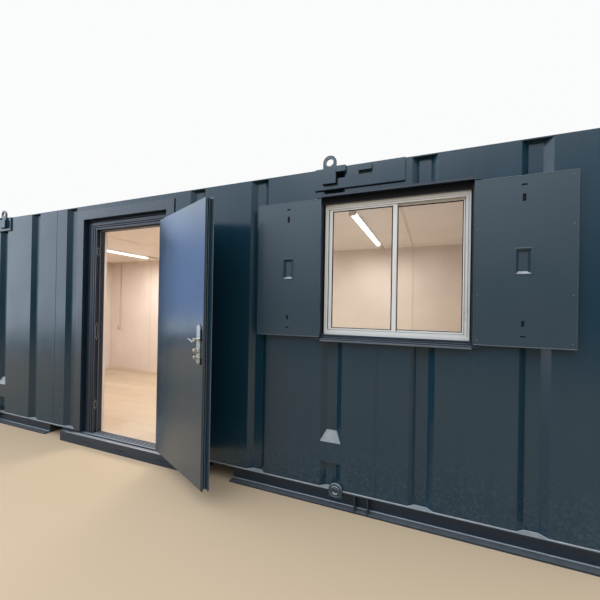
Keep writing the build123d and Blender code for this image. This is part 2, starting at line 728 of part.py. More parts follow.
# Window head and stepped ledge, with the stub pins that the shutters turn on
head_z = win_top + HEAD_RISE
ledge_top = win_bottom - LEDGE_DROP
ledge_z = ledge_top - LEDGE_T
shutter_top = head_z - SHUTTER_UNDER
shutter_bottom = ledge_top + SHUTTER_OVER
shutter_w = WINDOW_W / 2 + SHUTTER_COVER
shutter_offset = shutter_w - SHUTTER_PIVOT + SHUTTER_MEET / 2
land_end = shutter_offset + SHUTTER_PIN_R + LAND_PAST_PIN
land_y = SHUTTER_Y + SHUTTER_PIN_R + PIN_LAND


def shutter_pin(side, z0, z1, radius):
    """A round bar on the shutter axis, side -1 is left and +1 is right of the window."""
    place = Pos(WINDOW_X + side * shutter_offset, -SHUTTER_Y, (z0 + z1) / 2)
    return place * Cylinder(radius, z1 - z0)


head_section = [
    (0, head_z), (-LEDGE_PROUD, head_z), (-LEDGE_PROUD, head_z + HEAD_T), (0, head_z + HEAD_T + HEAD_FALL),
]
head = along(head_section, win_left, win_right)
head += block(WINDOW_X - land_end, WINDOW_X + land_end, -land_y, 0, head_z, head_z + PIN_PLATE)
ledge_section = [
    (0, ledge_z), (-LEDGE_PROUD, ledge_z), (-LEDGE_PROUD, ledge_z + LEDGE_NOSE - LEDGE_CHAMFER),
    (LEDGE_CHAMFER - LEDGE_PROUD, ledge_z + LEDGE_NOSE), (-LEDGE_RIDGE_Y, ledge_z + LEDGE_NOSE),
    (-LEDGE_RIDGE_Y, ledge_top - LEDGE_CHAMFER), (LEDGE_CHAMFER - LEDGE_RIDGE_Y, ledge_top),
    (0, ledge_top),
]
ledge = along(ledge_section, win_left, win_right)
ledge += block(WINDOW_X - land_end, WINDOW_X + land_end, -land_y, 0, ledge_top - PIN_PLATE, ledge_top)
ledge += block(hole_left, hole_right, -SURROUND_PROUD, 0, ledge_top, ledge_top + LEDGE_RIDGE_H)
for side in (-1, 1):
    head += shutter_pin(side, head_z - SHUTTER_PIN_L, head_z, SHUTTER_PIN_R)
    ledge += shutter_pin(side, ledge_top, ledge_top + SHUTTER_PIN_L, SHUTTER_PIN_R)
save("window_head_trim", front(head))
save("window_ledge", front(ledge))


def shutter(side):
    """A steel shutter folded open, with a pyramid pull recess and bolt slots on its centre line."""
    hinge_edge = WINDOW_X + side * (shutter_offset - SHUTTER_PIVOT)
    free_edge = hinge_edge + side * shutter_w
    face_y = -SHUTTER_Y - SHUTTER_T / 2
    x0 = min(hinge_edge, free_edge)
    panel = block(x0, x0 + shutter_w, face_y, face_y + SHUTTER_T, shutter_bottom, shutter_top)
    centre_x = (hinge_edge + free_edge) / 2
    centre_z = (shutter_bottom + shutter_top) / 2
    rim_y = face_y - PULL_RIM_PROUD
    panel += block(
        centre_x - PULL_W / 2 - PULL_RIM, centre_x + PULL_W / 2 + PULL_RIM, rim_y, face_y,
        centre_z - PULL_H / 2 - PULL_RIM, centre_z + PULL_H / 2 + PULL_RIM,
    )
    mouth_plane = Plane((centre_x, rim_y, centre_z), x_dir=(1, 0, 0), z_dir=(0, -1, 0))
    floor_plane = Plane((centre_x, face_y + PULL_DEPTH, centre_z), x_dir=(1, 0, 0), z_dir=(0, -1, 0))
    mouth = mouth_plane * Rectangle(PULL_W, PULL_H)
    pocket_floor = floor_plane * Rectangle(PULL_W - 2 * PULL_SLOPE, PULL_H - 2 * PULL_SLOPE)
    panel -= loft([mouth, pocket_floor])
    for down, width, height in SLOTS:
        slot_z = shutter_top - down
        panel -= block(
            centre_x - width / 2, centre_x + width / 2, face_y, face_y + SLOT_DEPTH,
            slot_z - height / 2, slot_z + height / 2,
        )
    bore_r = SHUTTER_PIN_R + PIN_FIT
    panel -= shutter_pin(side, head_z - SHUTTER_PIN_L - PIN_END, shutter_top, bore_r)
    panel -= shutter_pin(side, shutter_bottom, ledge_top + SHUTTER_PIN_L + PIN_END, bore_r)
    return panel


save("shutter_left", front(shutter(-1)))
save("shutter_right", front(shutter(1)))


# Lifting gear
def eye_plate(x, z_eye, z_foot, radius, hole, y0, y1):
    """An upright plate with a round top and an eye."""
    body = block(x - radius, x + radius, y0, y1, z_foot, z_eye)
    place = Pos(x, (y0 + y1) / 2, z_eye) * Rot(90, 0, 0)
    return body + place * Cylinder(radius, y1 - y0) - place * Cylinder(hole, 2 * (y1 - y0))


lug_foot = BODY_TOP - LUG_FOOT_DOWN
lug_face = -COVER_T - LUG_T
lug = eye_plate(LUG_X, BODY_TOP + LUG_EYE_UP, lug_foot, LUG_W / 2, LUG_HOLE_R, lug_face, -COVER_T)
lug += block(
    LUG_X - LUG_W / 2, LUG_X + LUG_W / 2, lug_face - LUG_PAD_T, lug_face, lug_foot, lug_foot + LUG_PAD_H
)
save("lifting_lugs", four(lug))

cover = block(LUG_X - COVER_LEFT, LUG_X + COVER_RIGHT, -COVER_T, 0, BODY_TOP - COVER_DOWN, BODY_TOP)
for from_lug, tab_w, tab_d, tab_drop, tab_h, slot_h in TABS:
    tab_x = LUG_X + LUG_W / 2 + from_lug
    tab_top = BODY_TOP - tab_drop
    tab_under = tab_top - tab_h
    cover += block(tab_x, tab_x + tab_w, -COVER_T - tab_d, -COVER_T, tab_under, tab_top)
    cover -= block(tab_x, tab_x + tab_w, -COVER_T, 0, tab_under - slot_h, tab_under)
save("lug_covers", four(cover))

low_eye_foot = LOW_EYE_Z - LUG_W / 2
low_eye_y = -RAIL_LEDGE - LOW_EYE_T
low_eye = eye_plate(
    LOW_EYE_X, LOW_EYE_Z, low_eye_foot, LUG_W / 2, LOW_EYE_HOLE_R, low_eye_y, -RAIL_LEDGE
)
low_eye += block(
    LOW_EYE_X - LOW_EYE_SHANK / 2, LOW_EYE_X + LOW_EYE_SHANK / 2, -RAIL_LEDGE, web_y,
    low_eye_foot, LOW_EYE_Z - LOW_EYE_HOLE_R - LOW_EYE_SEAT,
)
save("lower_eyes", four(low_eye))

# Fittings inside the room
light_base = CEILING_UNDER - LIGHT_BODY
lights = []
for x in (LIGHT_FROM_END - HALF_L, 0.0, HALF_L - LIGHT_FROM_END):
    tube = Pos(x, 0, light_base) * Rot(90, 0, 0) * Cylinder(LIGHT_R, LIGHT_L)
    batten = block(x - LIGHT_W / 2, x + LIGHT_W / 2, -LIGHT_L / 2, LIGHT_L / 2, light_base, CEILING_UNDER)
    lights.append(batten + tube)
save("ceiling_lights", Compound(children=lights))

room_l = HALF_L - WALL_T
room_w = HALF_W - WALL_T
skirting_top = FLOOR_TOP + SKIRTING_H
skirting = block(-room_l, room_l, -room_w, room_w, FLOOR_TOP, skirting_top)
skirting -= block(
    -room_l + SKIRTING_T, room_l - SKIRTING_T, -room_w + SKIRTING_T, room_w - SKIRTING_T,
    FLOOR_TOP, skirting_top,
)
skirting -= block(
    jamb_left - ARCHITRAVE, jamb_right + ARCHITRAVE, -room_w, -room_w + SKIRTING_T, FLOOR_TOP, skirting_top
)
save("skirting", skirting)

conduit_x = CONDUIT_FROM_END - HALF_L
box_z = FLOOR_TOP + BOX_UP
conduit = block(
    conduit_x - CONDUIT_W / 2, conduit_x + CONDUIT_W / 2, room_w - CONDUIT_T, room_w, box_z, CEILING_UNDER
)
conduit += block(conduit_x - BOX_W / 2, conduit_x + BOX_W / 2, room_w - BOX_T, room_w, box_z - BOX_W, box_z)
save("socket_conduit", conduit)
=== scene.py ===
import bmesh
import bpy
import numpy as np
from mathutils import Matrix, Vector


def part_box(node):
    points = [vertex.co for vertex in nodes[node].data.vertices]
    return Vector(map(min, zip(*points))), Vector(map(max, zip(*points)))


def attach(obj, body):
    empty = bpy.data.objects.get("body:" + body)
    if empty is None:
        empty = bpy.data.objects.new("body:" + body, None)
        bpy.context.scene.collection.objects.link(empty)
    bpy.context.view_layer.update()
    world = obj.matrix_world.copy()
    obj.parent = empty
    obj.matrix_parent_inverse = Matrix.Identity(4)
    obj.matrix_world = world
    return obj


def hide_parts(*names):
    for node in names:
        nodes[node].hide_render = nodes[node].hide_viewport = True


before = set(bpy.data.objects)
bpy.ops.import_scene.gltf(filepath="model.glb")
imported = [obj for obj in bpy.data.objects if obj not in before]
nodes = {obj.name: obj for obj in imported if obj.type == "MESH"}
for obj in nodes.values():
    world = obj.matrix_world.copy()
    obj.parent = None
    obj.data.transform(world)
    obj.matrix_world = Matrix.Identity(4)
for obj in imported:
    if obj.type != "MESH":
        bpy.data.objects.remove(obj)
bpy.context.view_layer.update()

# %% [markdown]
# # A steel site cabin, dressed around its CAD frame
# The cabin is a long box of pressed, ribbed steel sheets. Its door stands open on three pins, and two
# shutters lie folded back beside the window. The CAD model already has those shapes at their true sizes,
# so this lesson leaves its meshes alone. It gives each of them a finish, and it adds what a drawing office
# leaves out: seals, welds, screw heads, glazing rubbers, board joints and the curved door lever.

# %% [markdown]
# ## Where the camera stands
# The photograph was taken with a wide lens, close to the cabin, so its long lines run away steeply. The
# ribs are 610 mm apart on the real cabin, and that spacing, followed across the picture, gives the
# distance, the turn to the left and the focal length. The shift is the small offset that is left over.

# %% Camera
PHOTO_PIXELS = 600.0
SENSOR_WIDTH = 36.0
FOCAL_PIXELS = 330.0
LENS_CENTRE = (296.4, 307.63)
CAMERA_PLACE = np.array([2.7146, -3.6679, 1.4158])
TURN_LEFT, LOOK_UP, ROLL = np.radians([22.58, 0.25, 1.007])

ahead = np.array([-np.sin(TURN_LEFT), np.cos(TURN_LEFT), 0.0])
level = np.array([np.cos(TURN_LEFT), np.sin(TURN_LEFT), 0.0])
upright = np.array([0.0, 0.0, 1.0])
look = ahead * np.cos(LOOK_UP) + upright * np.sin(LOOK_UP)
rise = upright * np.cos(LOOK_UP) - ahead * np.sin(LOOK_UP)
camera_x = level * np.cos(ROLL) + rise * np.sin(ROLL)
camera_y = rise * np.cos(ROLL) - level * np.sin(ROLL)

placed = np.eye(4)
placed[:3, 0], placed[:3, 1], placed[:3, 2], placed[:3, 3] = camera_x, camera_y, -look, CAMERA_PLACE
camera = bpy.data.objects.new("camera", bpy.data.cameras.new("camera"))
bpy.context.scene.collection.objects.link(camera)
camera.matrix_world = Matrix(placed.tolist())
camera.data.sensor_width = SENSOR_WIDTH
camera.data.lens = FOCAL_PIXELS / PHOTO_PIXELS * SENSOR_WIDTH
camera.data.shift_x = (PHOTO_PIXELS / 2 - LENS_CENTRE[0]) / PHOTO_PIXELS
camera.data.shift_y = (LENS_CENTRE[1] - PHOTO_PIXELS / 2) / PHOTO_PIXELS
bpy.context.scene.camera = camera
bpy.context.scene.view_settings.view_transform = "Standard"
shift = [round(camera.data.shift_x, 4), round(camera.data.shift_y, 4)]
print("lens:", round(camera.data.lens, 2), "shift:", shift)

# %% [markdown]
# ## Helpers for node trees
# A material is a small machine of nodes. Two helpers keep its wiring readable: one adds a node with its
# settings and inputs in a single call, the other opens a shader group with named sockets, so that an
# effect such as dust is built once and used by many finishes.

# %% Node helpers
def add(tree, kind, inputs=None, **settings):
    """Add a node. An input given as a socket is linked, any other is set as a value."""
    made = tree.nodes.new(kind)
    for name, value in settings.items():
        setattr(made, name, value)
    for name, value in (inputs or {}).items():
        if isinstance(value, bpy.types.NodeSocket):
            tree.links.new(value, made.inputs[name])
        else:
            made.inputs[name].default_value = value
    return made


def maths(tree, operation, a, b=0.0, clamp=False):
    """One sum on two numbers or sockets."""
    return add(tree, "ShaderNodeMath", {0: a, 1: b}, operation=operation, use_clamp=clamp).outputs[0]


def spread(tree, value, low, high, to_low=0.0, to_high=1.0):
    """Stretch a value so that low to high becomes to_low to to_high, and hold it there outside."""
    inputs = {"Value": value, "From Min": low, "From Max": high, "To Min": to_low, "To Max": to_high}
    return add(tree, "ShaderNodeMapRange", inputs).outputs["Result"]


def blend_colours(tree, factor, first, second):
    """The first colour where the factor is 0 and the second where it is 1."""
    return add(tree, "ShaderNodeMix", {0: factor, 6: first, 7: second}, data_type="RGBA").outputs[2]


def noise(tree, vector, scale, detail=2.0, roughness=0.5):
    """Cloudy noise between 0 and 1."""
    inputs = {"Vector": vector, "Scale": scale, "Detail": detail, "Roughness": roughness}
    return add(tree, "ShaderNodeTexNoise", inputs).outputs["Fac"]


def stretched(tree, vector, scale):
    """The same coordinates with each axis scaled by its own amount."""
    return add(tree, "ShaderNodeMapping", {"Vector": vector, "Scale": scale}).outputs["Vector"]


def effect(name, inputs, outputs):
    """Open a shader group: inputs and outputs are (name, socket kind, first value)."""
    tree = bpy.data.node_groups.new(name, "ShaderNodeTree")
    for direction, sockets in (("INPUT", inputs), ("OUTPUT", outputs)):
        for socket_name, kind, value in sockets:
            socket = tree.interface.new_socket(socket_name, in_out=direction, socket_type="NodeSocket" + kind)
            if value is not None:
                socket.default_value = value
    return tree, tree.nodes.new("NodeGroupInput").outputs, tree.nodes.new("NodeGroupOutput").inputs


def give(tree, socket, target):
    """Send a socket on to the input of another node."""
    tree.links.new(socket, target)


def use(tree, group, inputs):
    """Place a shader group with its own values."""
    return add(tree, "ShaderNodeGroup", inputs, node_tree=group).outputs


def finish_named(name, **surface):
    """A new material: its node tree, its Principled BSDF and its Object coordinates."""
    made = bpy.data.materials.new(name)
    made.use_nodes = True
    shader = made.node_tree.nodes["Principled BSDF"]
    for socket, value in surface.items():
        shader.inputs[socket.replace("_", " ")].default_value = value
    place = add(made.node_tree, "ShaderNodeTexCoord").outputs["Object"]
    return made, made.node_tree, shader, place


print("node helpers ready")

# %% [markdown]
# ## Light and floor
# Satin paint shows what stands around it more than its own colour, so the surroundings matter. The set is
# a plain pale studio: white behind the cabin and overhead, and on the camera's side bright and cool to the
# left, less bright to the right, and darkening towards the horizon, which makes the walls fade from top to
# bottom. Far to the left it is bluer, and the open door mirrors that. The world is made of smooth steps
# between plain colours, chosen by direction: X runs to the right, Y to the back and Z up. Two soft lamps
# give the shape, and the room has its own.

# %% World
studio = bpy.data.worlds.new("studio")
studio.use_nodes = True
bpy.context.scene.world = studio
sky = studio.node_tree
direction = add(sky, "ShaderNodeTexCoord").outputs["Generated"]
facing = add(sky, "ShaderNodeSeparateXYZ", {0: direction}).outputs
BACKDROP = (0.96, 0.965, 0.97, 1.0)
HORIZON = (0.10, 0.12, 0.14, 1.0)
RIGHT_HIGH = (0.92, 1.02, 1.12, 1.0)
LEFT_HIGH = (2.08, 2.32, 2.66, 1.0)
FAR_LEFT = (0.80, 1.13, 2.10, 1.0)
RIGHT_TO_LEFT, TO_THE_SIDE, AT_THE_SIDE = (0.35, -0.65), (-0.5, -0.8), (-0.95, -0.985)
SLOW_RISE, QUICK_RISE, PATCH_RISE, OVERHEAD = (0.0, 0.42), (-0.085, -0.060), (-0.055, -0.025), (0.72, 0.9)
TO_THE_BACK = (0.22, 0.34)
high = blend_colours(sky, spread(sky, facing["X"], *RIGHT_TO_LEFT), RIGHT_HIGH, LEFT_HIGH)
slow_rise, quick_rise = (spread(sky, facing["Z"], *rise_range) for rise_range in (SLOW_RISE, QUICK_RISE))
to_side = spread(sky, facing["X"], *TO_THE_SIDE)
risen = add(sky, "ShaderNodeMix", {0: to_side, 2: slow_rise, 3: quick_rise}).outputs[0]
camera_side = blend_colours(sky, risen, HORIZON, high)
patch = maths(sky, "MULTIPLY", spread(sky, facing["X"], *AT_THE_SIDE), spread(sky, facing["Z"], *PATCH_RISE))
camera_side = blend_colours(sky, patch, camera_side, FAR_LEFT)
behind = maths(sky, "MAXIMUM", spread(sky, facing["Y"], *TO_THE_BACK), spread(sky, facing["Z"], *OVERHEAD))
around = blend_colours(sky, behind, camera_side, BACKDROP)
background = sky.nodes["Background"]
give(sky, around, background.inputs["Color"])
background.inputs["Strength"].default_value = 1.0
print("world ready")

# %% Lamps
def soft_lamp(name, place, aim, width, height, watts, colour, seen=True):
    """A rectangular area lamp at a place, turned to a point it lights."""
    lamp = bpy.data.lights.new(name, "AREA")
    lamp.shape, lamp.size, lamp.size_y = "RECTANGLE", width, height
    lamp.energy, lamp.color = watts, colour
    made = bpy.data.objects.new(name, lamp)
    bpy.context.scene.collection.objects.link(made)
    beam = np.asarray(aim, float) - np.asarray(place, float)
    beam /= np.linalg.norm(beam)
    side = np.cross(beam, upright) if abs(beam[2]) < 0.99 else np.array([1.0, 0.0, 0.0])
    side /= np.linalg.norm(side)
    turn = np.eye(4)
    turn[:3, 0], turn[:3, 1], turn[:3, 2], turn[:3, 3] = side, np.cross(side, beam), -beam, place
    made.matrix_world = Matrix(turn.tolist())
    made.visible_camera = False
    made.visible_transmission = False
    made.visible_glossy = seen
    return made


COOL, NEUTRAL, ROOM_WARM = (0.90, 0.95, 1.0), (1.0, 1.0, 1.0), (1.0, 0.98, 0.965)
soft_lamp(
    "lamp_over_front", place=(2.5, -6.0, 7.0), aim=(1.0, -1.4, 1.0), width=9.0, height=5.0, watts=250.0,
    colour=COOL,
)
soft_lamp(
    "lamp_rear", place=(-2.0, 8.0, 6.5), aim=(0.0, 1.4, 1.0), width=8.0, height=5.0, watts=300.0,
    colour=NEUTRAL, seen=False,
)
FITTING_SPACING, UNDER_FITTINGS = 2.03, 2.24
for number, watts in enumerate((32.0, 26.0, 21.0)):
    x = (number - 1) * FITTING_SPACING
    soft_lamp(
        f"lamp_room_{number}", place=(x, 0.0, UNDER_FITTINGS), aim=(x, 0.0, 0.0), width=0.4, height=1.5,
        watts=watts, colour=ROOM_WARM, seen=False,
    )

# %% [markdown]
# The floor is a plain pale slab. The walls and the open door mirror it, and past its edges they mirror the
# set instead. So it ends behind the camera and some way past the cabin's left end, and it runs on far to
# the right and to the back.

# %% Floor
FLOOR_EDGE = (-9.5, 60.0, -13.0, 60.0)
GROUND_GAP = 0.0005
x0, x1, y0, y1 = FLOOR_EDGE
slab = bpy.data.meshes.new("floor_slab")
corners = [(x, y, -GROUND_GAP) for x, y in ((x0, y0), (x1, y0), (x1, y1), (x0, y1))]
slab.from_pydata(corners, [], [(0, 1, 2, 3)])
ground = bpy.data.objects.new("studio_floor", slab)
bpy.context.scene.collection.objects.link(ground)
pale, tree, shader, place = finish_named("pale_floor", Roughness=0.9)
PALE_SAND, FLOOR_SHINE = (0.56, 0.425, 0.285, 1.0), 0.1
shader.inputs["Base Color"].default_value = PALE_SAND
shader.inputs["Specular IOR Level"].default_value = FLOOR_SHINE
slab.materials.append(pale)
print("floor ready")

# %% [markdown]
# ## Effects that several finishes share
# Sprayed steel is never quite flat. It has orange peel a millimetre or two across, slow waves where the
# sheet was pressed, and vertical marks from the roller and the rain. Splash sits low down, and everything
# that faces up turns pale with dust and painted top light; below a given height those tops keep less of it,
# a painted shade. Each of these is a group with named sockets.

# %% Paint film group
paint_film, get, put = effect(
    "paint_film",
    [("Place", "Vector", None), ("Peel", "Float", 0.3), ("Waves", "Float", 0.5), ("Marks", "Float", 0.5)],
    [("Height", "Float", None), ("Tone", "Float", None), ("Gloss", "Float", None)],
)
peel = maths(paint_film, "MULTIPLY", noise(paint_film, get["Place"], 260.0, 1.0), get["Peel"])
slow = maths(paint_film, "MULTIPLY", noise(paint_film, get["Place"], 1.7, 1.0), get["Waves"])
tall = stretched(paint_film, get["Place"], (9.0, 9.0, 0.55))
marks = noise(paint_film, tall, 1.0, 4.0, 0.6)
fine_tall = stretched(paint_film, get["Place"], (60.0, 60.0, 2.2))
fine_marks = noise(paint_film, fine_tall, 1.0, 3.0, 0.6)
peel_height = maths(paint_film, "MULTIPLY", peel, 0.0006)
wave_height = maths(paint_film, "MULTIPLY", slow, 0.012)
give(paint_film, maths(paint_film, "ADD", peel_height, wave_height), put["Height"])
both = maths(paint_film, "MULTIPLY", maths(paint_film, "ADD", marks, fine_marks), 0.5)
swing = maths(paint_film, "MULTIPLY", maths(paint_film, "SUBTRACT", both, 0.5), get["Marks"])
give(paint_film, maths(paint_film, "ADD", swing, 1.0), put["Tone"])
patches = noise(paint_film, get["Place"], 3.5, 5.0, 0.6)
give(paint_film, maths(paint_film, "ADD", patches, swing), put["Gloss"])
print("paint film ready")

# %% Dust, top light and splash group
dust_and_top_light_group, get, put = effect(
    "dust_and_top_light_group",
    [("Place", "Vector", None), ("Low", "Float", 0.1), ("High", "Float", 0.6), ("Upward", "Float", 0.8),
     ("Above", "Float", -1.0), ("Splash", "Float", 0.5)],
    [("Mask", "Float", None)],
)
LOW_TOP_SHADE = 0.3
surface = add(dust_and_top_light_group, "ShaderNodeNewGeometry").outputs["Normal"]
facing_up = add(dust_and_top_light_group, "ShaderNodeSeparateXYZ", {0: surface}).outputs["Z"]
# Faces that look up turn pale: dust and painted top light together.
flat_top = spread(dust_and_top_light_group, facing_up, 0.15, 0.55)
cloud = noise(dust_and_top_light_group, get["Place"], 14.0, 6.0, 0.65)
on_top = maths(dust_and_top_light_group, "MULTIPLY", flat_top, spread(dust_and_top_light_group, cloud, 0.2, 0.6, 0.55, 1.0))
on_top = maths(dust_and_top_light_group, "MULTIPLY", on_top, get["Upward"])
height = add(dust_and_top_light_group, "ShaderNodeSeparateXYZ", {0: get["Place"]}).outputs["Z"]
# Tops below the height Above keep only a part of it, a painted shade low down.
is_above = maths(dust_and_top_light_group, "GREATER_THAN", height, get["Above"])
on_top = maths(dust_and_top_light_group, "MULTIPLY", on_top, spread(dust_and_top_light_group, is_above, 0.0, 1.0, LOW_TOP_SHADE, 1.0))
near_ground = spread(dust_and_top_light_group, height, get["High"], get["Low"])
drops = noise(dust_and_top_light_group, get["Place"], 55.0, 4.0, 0.7)
thrown = maths(dust_and_top_light_group, "MULTIPLY", near_ground, spread(dust_and_top_light_group, drops, 0.45, 0.75))
thrown = maths(dust_and_top_light_group, "MULTIPLY", thrown, get["Splash"])
give(dust_and_top_light_group, maths(dust_and_top_light_group, "MAXIMUM", on_top, thrown), put["Mask"])
print("dust ready")

# %% [markdown]
# The steel pieces have square corners in the CAD model. Real folded edges have a small radius that catches
# the light. A Bevel node turns the normal round within that radius, and the angle between it and the flat
# normal is a mask of the edges, which paints a highlight on them: a lighter colour there.

# %% Soft edge group
soft_edge, get, put = effect(
    "soft_edge",
    [("Radius", "Float", 0.003), ("Strength", "Float", 0.5)],
    [("Normal", "Vector", None), ("Edge Highlight", "Float", None)],
)
rounded = add(soft_edge, "ShaderNodeBevel", {"Radius": get["Radius"]}, samples=4).outputs["Normal"]
flat = add(soft_edge, "ShaderNodeNewGeometry").outputs["Normal"]
compared = add(soft_edge, "ShaderNodeVectorMath", {0: rounded, 1: flat}, operation="DOT_PRODUCT")
give(soft_edge, rounded, put["Normal"])
bent = spread(soft_edge, compared.outputs["Value"], 0.98, 0.80)
give(soft_edge, maths(soft_edge, "MULTIPLY", bent, get["Strength"]), put["Edge Highlight"])
print("soft edge ready")

# %% [markdown]
# ## Painted steel
# One recipe serves every painted steel finish: the colour and gloss differ, and the amounts of peel,
# waves, dust with painted top light, and painted edge highlight differ. The walls are satin, the shutters and
# rails a little duller, the roof dusty.

# %% Painted steel recipe
PALE_DUST_AND_TOP_LIGHT = (0.46, 0.48, 0.48, 1.0)
EVERYWHERE = -1.0


def vary(tree, cloud, low, high):
    """Stretch the middle of a noise, where most of it lies, over this range."""
    return spread(tree, cloud, 0.3, 0.7, low, high)


def tinted(tree, colour, value):
    """The same colour, lighter where the value is above 1 and darker where it is below."""
    return add(tree, "ShaderNodeHueSaturation", {"Color": colour, "Value": value}).outputs["Color"]


def raise_surface(tree, shader, height, strength, distance, **normal):
    """Light the surface as if it were raised by this height."""
    inputs = {"Height": height, "Strength": strength, "Distance": distance, **normal}
    give(tree, add(tree, "ShaderNodeBump", inputs).outputs["Normal"], shader.inputs["Normal"])


def painted_steel(
    name, colour, dull, gloss, peel=0.3, waves=0.5, marks=0.5, upward=0.8, splash=0.06, edge=0.35,
    above=EVERYWHERE,
):
    """Painted steel: dull is the roughness of its colour coat and gloss the amount of clear shine on it."""
    made, tree, shader, place = finish_named(name, Coat_Weight=gloss, Coat_Roughness=0.13)
    film = use(tree, paint_film, {"Place": place, "Peel": peel, "Waves": waves, "Marks": marks})
    dust_and_light_outputs = use(tree, dust_and_top_light_group, {"Place": place, "Upward": upward, "Above": above, "Splash": splash})
    dust_and_top_light = dust_and_light_outputs["Mask"]
    rim = use(tree, soft_edge, {"Radius": 0.003, "Strength": edge})
    # The lighter colour along the edges is a painted highlight.
    lighter = tuple(min(1.0, c * 2.2 + 0.03) for c in colour[:3]) + (1.0,)
    edged = blend_colours(tree, rim["Edge Highlight"], tinted(tree, colour, film["Tone"]), lighter)
    # The pale grey mixed in is dust and painted top light together.
    give(tree, blend_colours(tree, dust_and_top_light, edged, PALE_DUST_AND_TOP_LIGHT), shader.inputs["Base Color"])
    clean = spread(tree, film["Gloss"], 0.3, 0.8, dull - 0.05, dull + 0.07)
    dulled = spread(tree, dust_and_top_light, 0.0, 1.0, 0.0, 0.5)
    give(tree, maths(tree, "ADD", clean, dulled, clamp=True), shader.inputs["Roughness"])
    raise_surface(tree, shader, film["Height"], 1.0, 1.0, Normal=rim["Normal"])
    return made


ANTHRACITE = (0.006, 0.028, 0.046, 1.0)
wall_paint = painted_steel("wall_paint", ANTHRACITE, 0.20, 0.0)
door_paint = painted_steel("door_paint", ANTHRACITE, 0.20, 0.3, waves=0.25, marks=0.8)
SHUTTER, TRIM = (0.014, 0.034, 0.050, 1.0), (0.008, 0.022, 0.036, 1.0)
OPENING_SHADE, RAIL_BLACK = (0.006, 0.014, 0.028, 1.0), (0.009, 0.019, 0.032, 1.0)
ROOF_GREY, BASE_BLACK = (0.020, 0.030, 0.040, 1.0), (0.010, 0.012, 0.015, 1.0)
EDGE_HIGHLIGHT, BARE_TREAD = (0.15, 0.175, 0.20, 1.0), (0.14, 0.165, 0.19, 1.0)
shutter_paint = painted_steel("shutter_paint", SHUTTER, 0.40, 0.5, waves=0.2, marks=0.25, edge=0.6)
trim_paint = painted_steel("trim_paint", TRIM, 0.28, 0.25, waves=0.1, upward=0.5)
# A darker paint on the door frame, threshold and window trims: painted shade round the openings, with little
# top dust.
opening_shade_paint = painted_steel("opening_shade_paint", OPENING_SHADE, 0.40, 0.1, waves=0.1, upward=0.15)
# Below 0.10 m the tops of the rail keep little of their pale top, a painted shade that leaves its foot dark.
rail_paint = painted_steel("rail_paint", RAIL_BLACK, 0.48, 0.0, upward=0.65, splash=0.02, above=0.10)
roof_steel = painted_steel("roof_steel", ROOF_GREY, 0.45, 0.2, upward=0.35)
base_steel = painted_steel("base_steel", BASE_BLACK, 0.6, 0.0, upward=0.3, splash=0.2, edge=0.1)
# A lighter paint for thin lips, rims and beads: a painted highlight along them.
highlight_edge_paint = painted_steel("highlight_edge_paint", EDGE_HIGHLIGHT, 0.34, 0.3, waves=0.1, upward=0.4)
worn_tread = painted_steel("worn_tread", BARE_TREAD, 0.34, 0.2, waves=0.1, marks=0.9, upward=0.25)
print("painted finishes ready")

# %% [markdown]
# ## Inside finishes
# The room is lined with smooth cream board and has an oak pattern covering on the floor. Board and paint
# need only a faint unevenness, but the covering is made of planks: a brick pattern gives each plank its own
# shade, and stretched noise draws the grain along it.

# %% Board, skirting and plastic
def plain_inside(name, colour, dull, grain=0.12, cloudy=0.05, shine=0.5):
    """A smooth indoor finish with a faint cloudiness in colour, gloss and height."""
    made, tree, shader, place = finish_named(name)
    shader.inputs["Specular IOR Level"].default_value = shine
    clouds = noise(tree, place, 2.3, 4.0, 0.6)
    toned = vary(tree, clouds, 1.0 - cloudy, 1.0 + cloudy)
    give(tree, tinted(tree, colour, toned), shader.inputs["Base Color"])
    give(tree, vary(tree, clouds, dull - 0.06, dull + 0.06), shader.inputs["Roughness"])
    raise_surface(tree, shader, noise(tree, place, 420.0, 2.0), grain, 0.001)
    return made


wall_board = plain_inside("wall_board", (0.77, 0.68, 0.61, 1.0), 0.55)
ceiling_board = plain_inside("ceiling_board", (0.84, 0.78, 0.72, 1.0), 0.6)
skirting_paint = plain_inside("skirting_paint", (0.72, 0.61, 0.50, 1.0), 0.4)
white_plastic = plain_inside("white_plastic", (0.60, 0.51, 0.43, 1.0), 0.35, cloudy=0.02)
window_coat = plain_inside("window_coat", (0.62, 0.61, 0.58, 1.0), 0.32, cloudy=0.03)
timber = plain_inside("timber", (0.50, 0.37, 0.22, 1.0), 0.7, cloudy=0.2)
print("inside finishes ready")

# %% Oak pattern floor
PLANK_LENGTH, PLANK_WIDTH, JOINT = 1.22, 0.18, 0.0012
OAK, PALE_OAK, JOINT_BROWN = (0.505, 0.395, 0.285, 1.0), (0.57, 0.46, 0.34, 1.0), (0.28, 0.20, 0.13, 1.0)
oak_floor, tree, shader, place = finish_named("oak_floor")
planks = add(
    tree, "ShaderNodeTexBrick",
    {"Vector": place, "Scale": 1.0, "Mortar Size": JOINT, "Mortar Smooth": 0.2, "Bias": 0.0,
     "Brick Width": PLANK_LENGTH, "Row Height": PLANK_WIDTH,
     "Color1": OAK, "Color2": PALE_OAK, "Mortar": JOINT_BROWN},
    offset=0.37, offset_frequency=2,
)
along_plank = stretched(tree, place, (1.6, 26.0, 1.0))
grain = noise(tree, along_plank, 2.0, 8.0, 0.62)
give(tree, tinted(tree, planks.outputs["Color"], vary(tree, grain, 0.86, 1.1)), shader.inputs["Base Color"])
give(tree, vary(tree, grain, 0.30, 0.44), shader.inputs["Roughness"])
joints = maths(tree, "SUBTRACT", grain, maths(tree, "MULTIPLY", planks.outputs["Fac"], 3.0))
raise_surface(tree, shader, joints, 0.25, 0.0006)
print("oak floor ready")

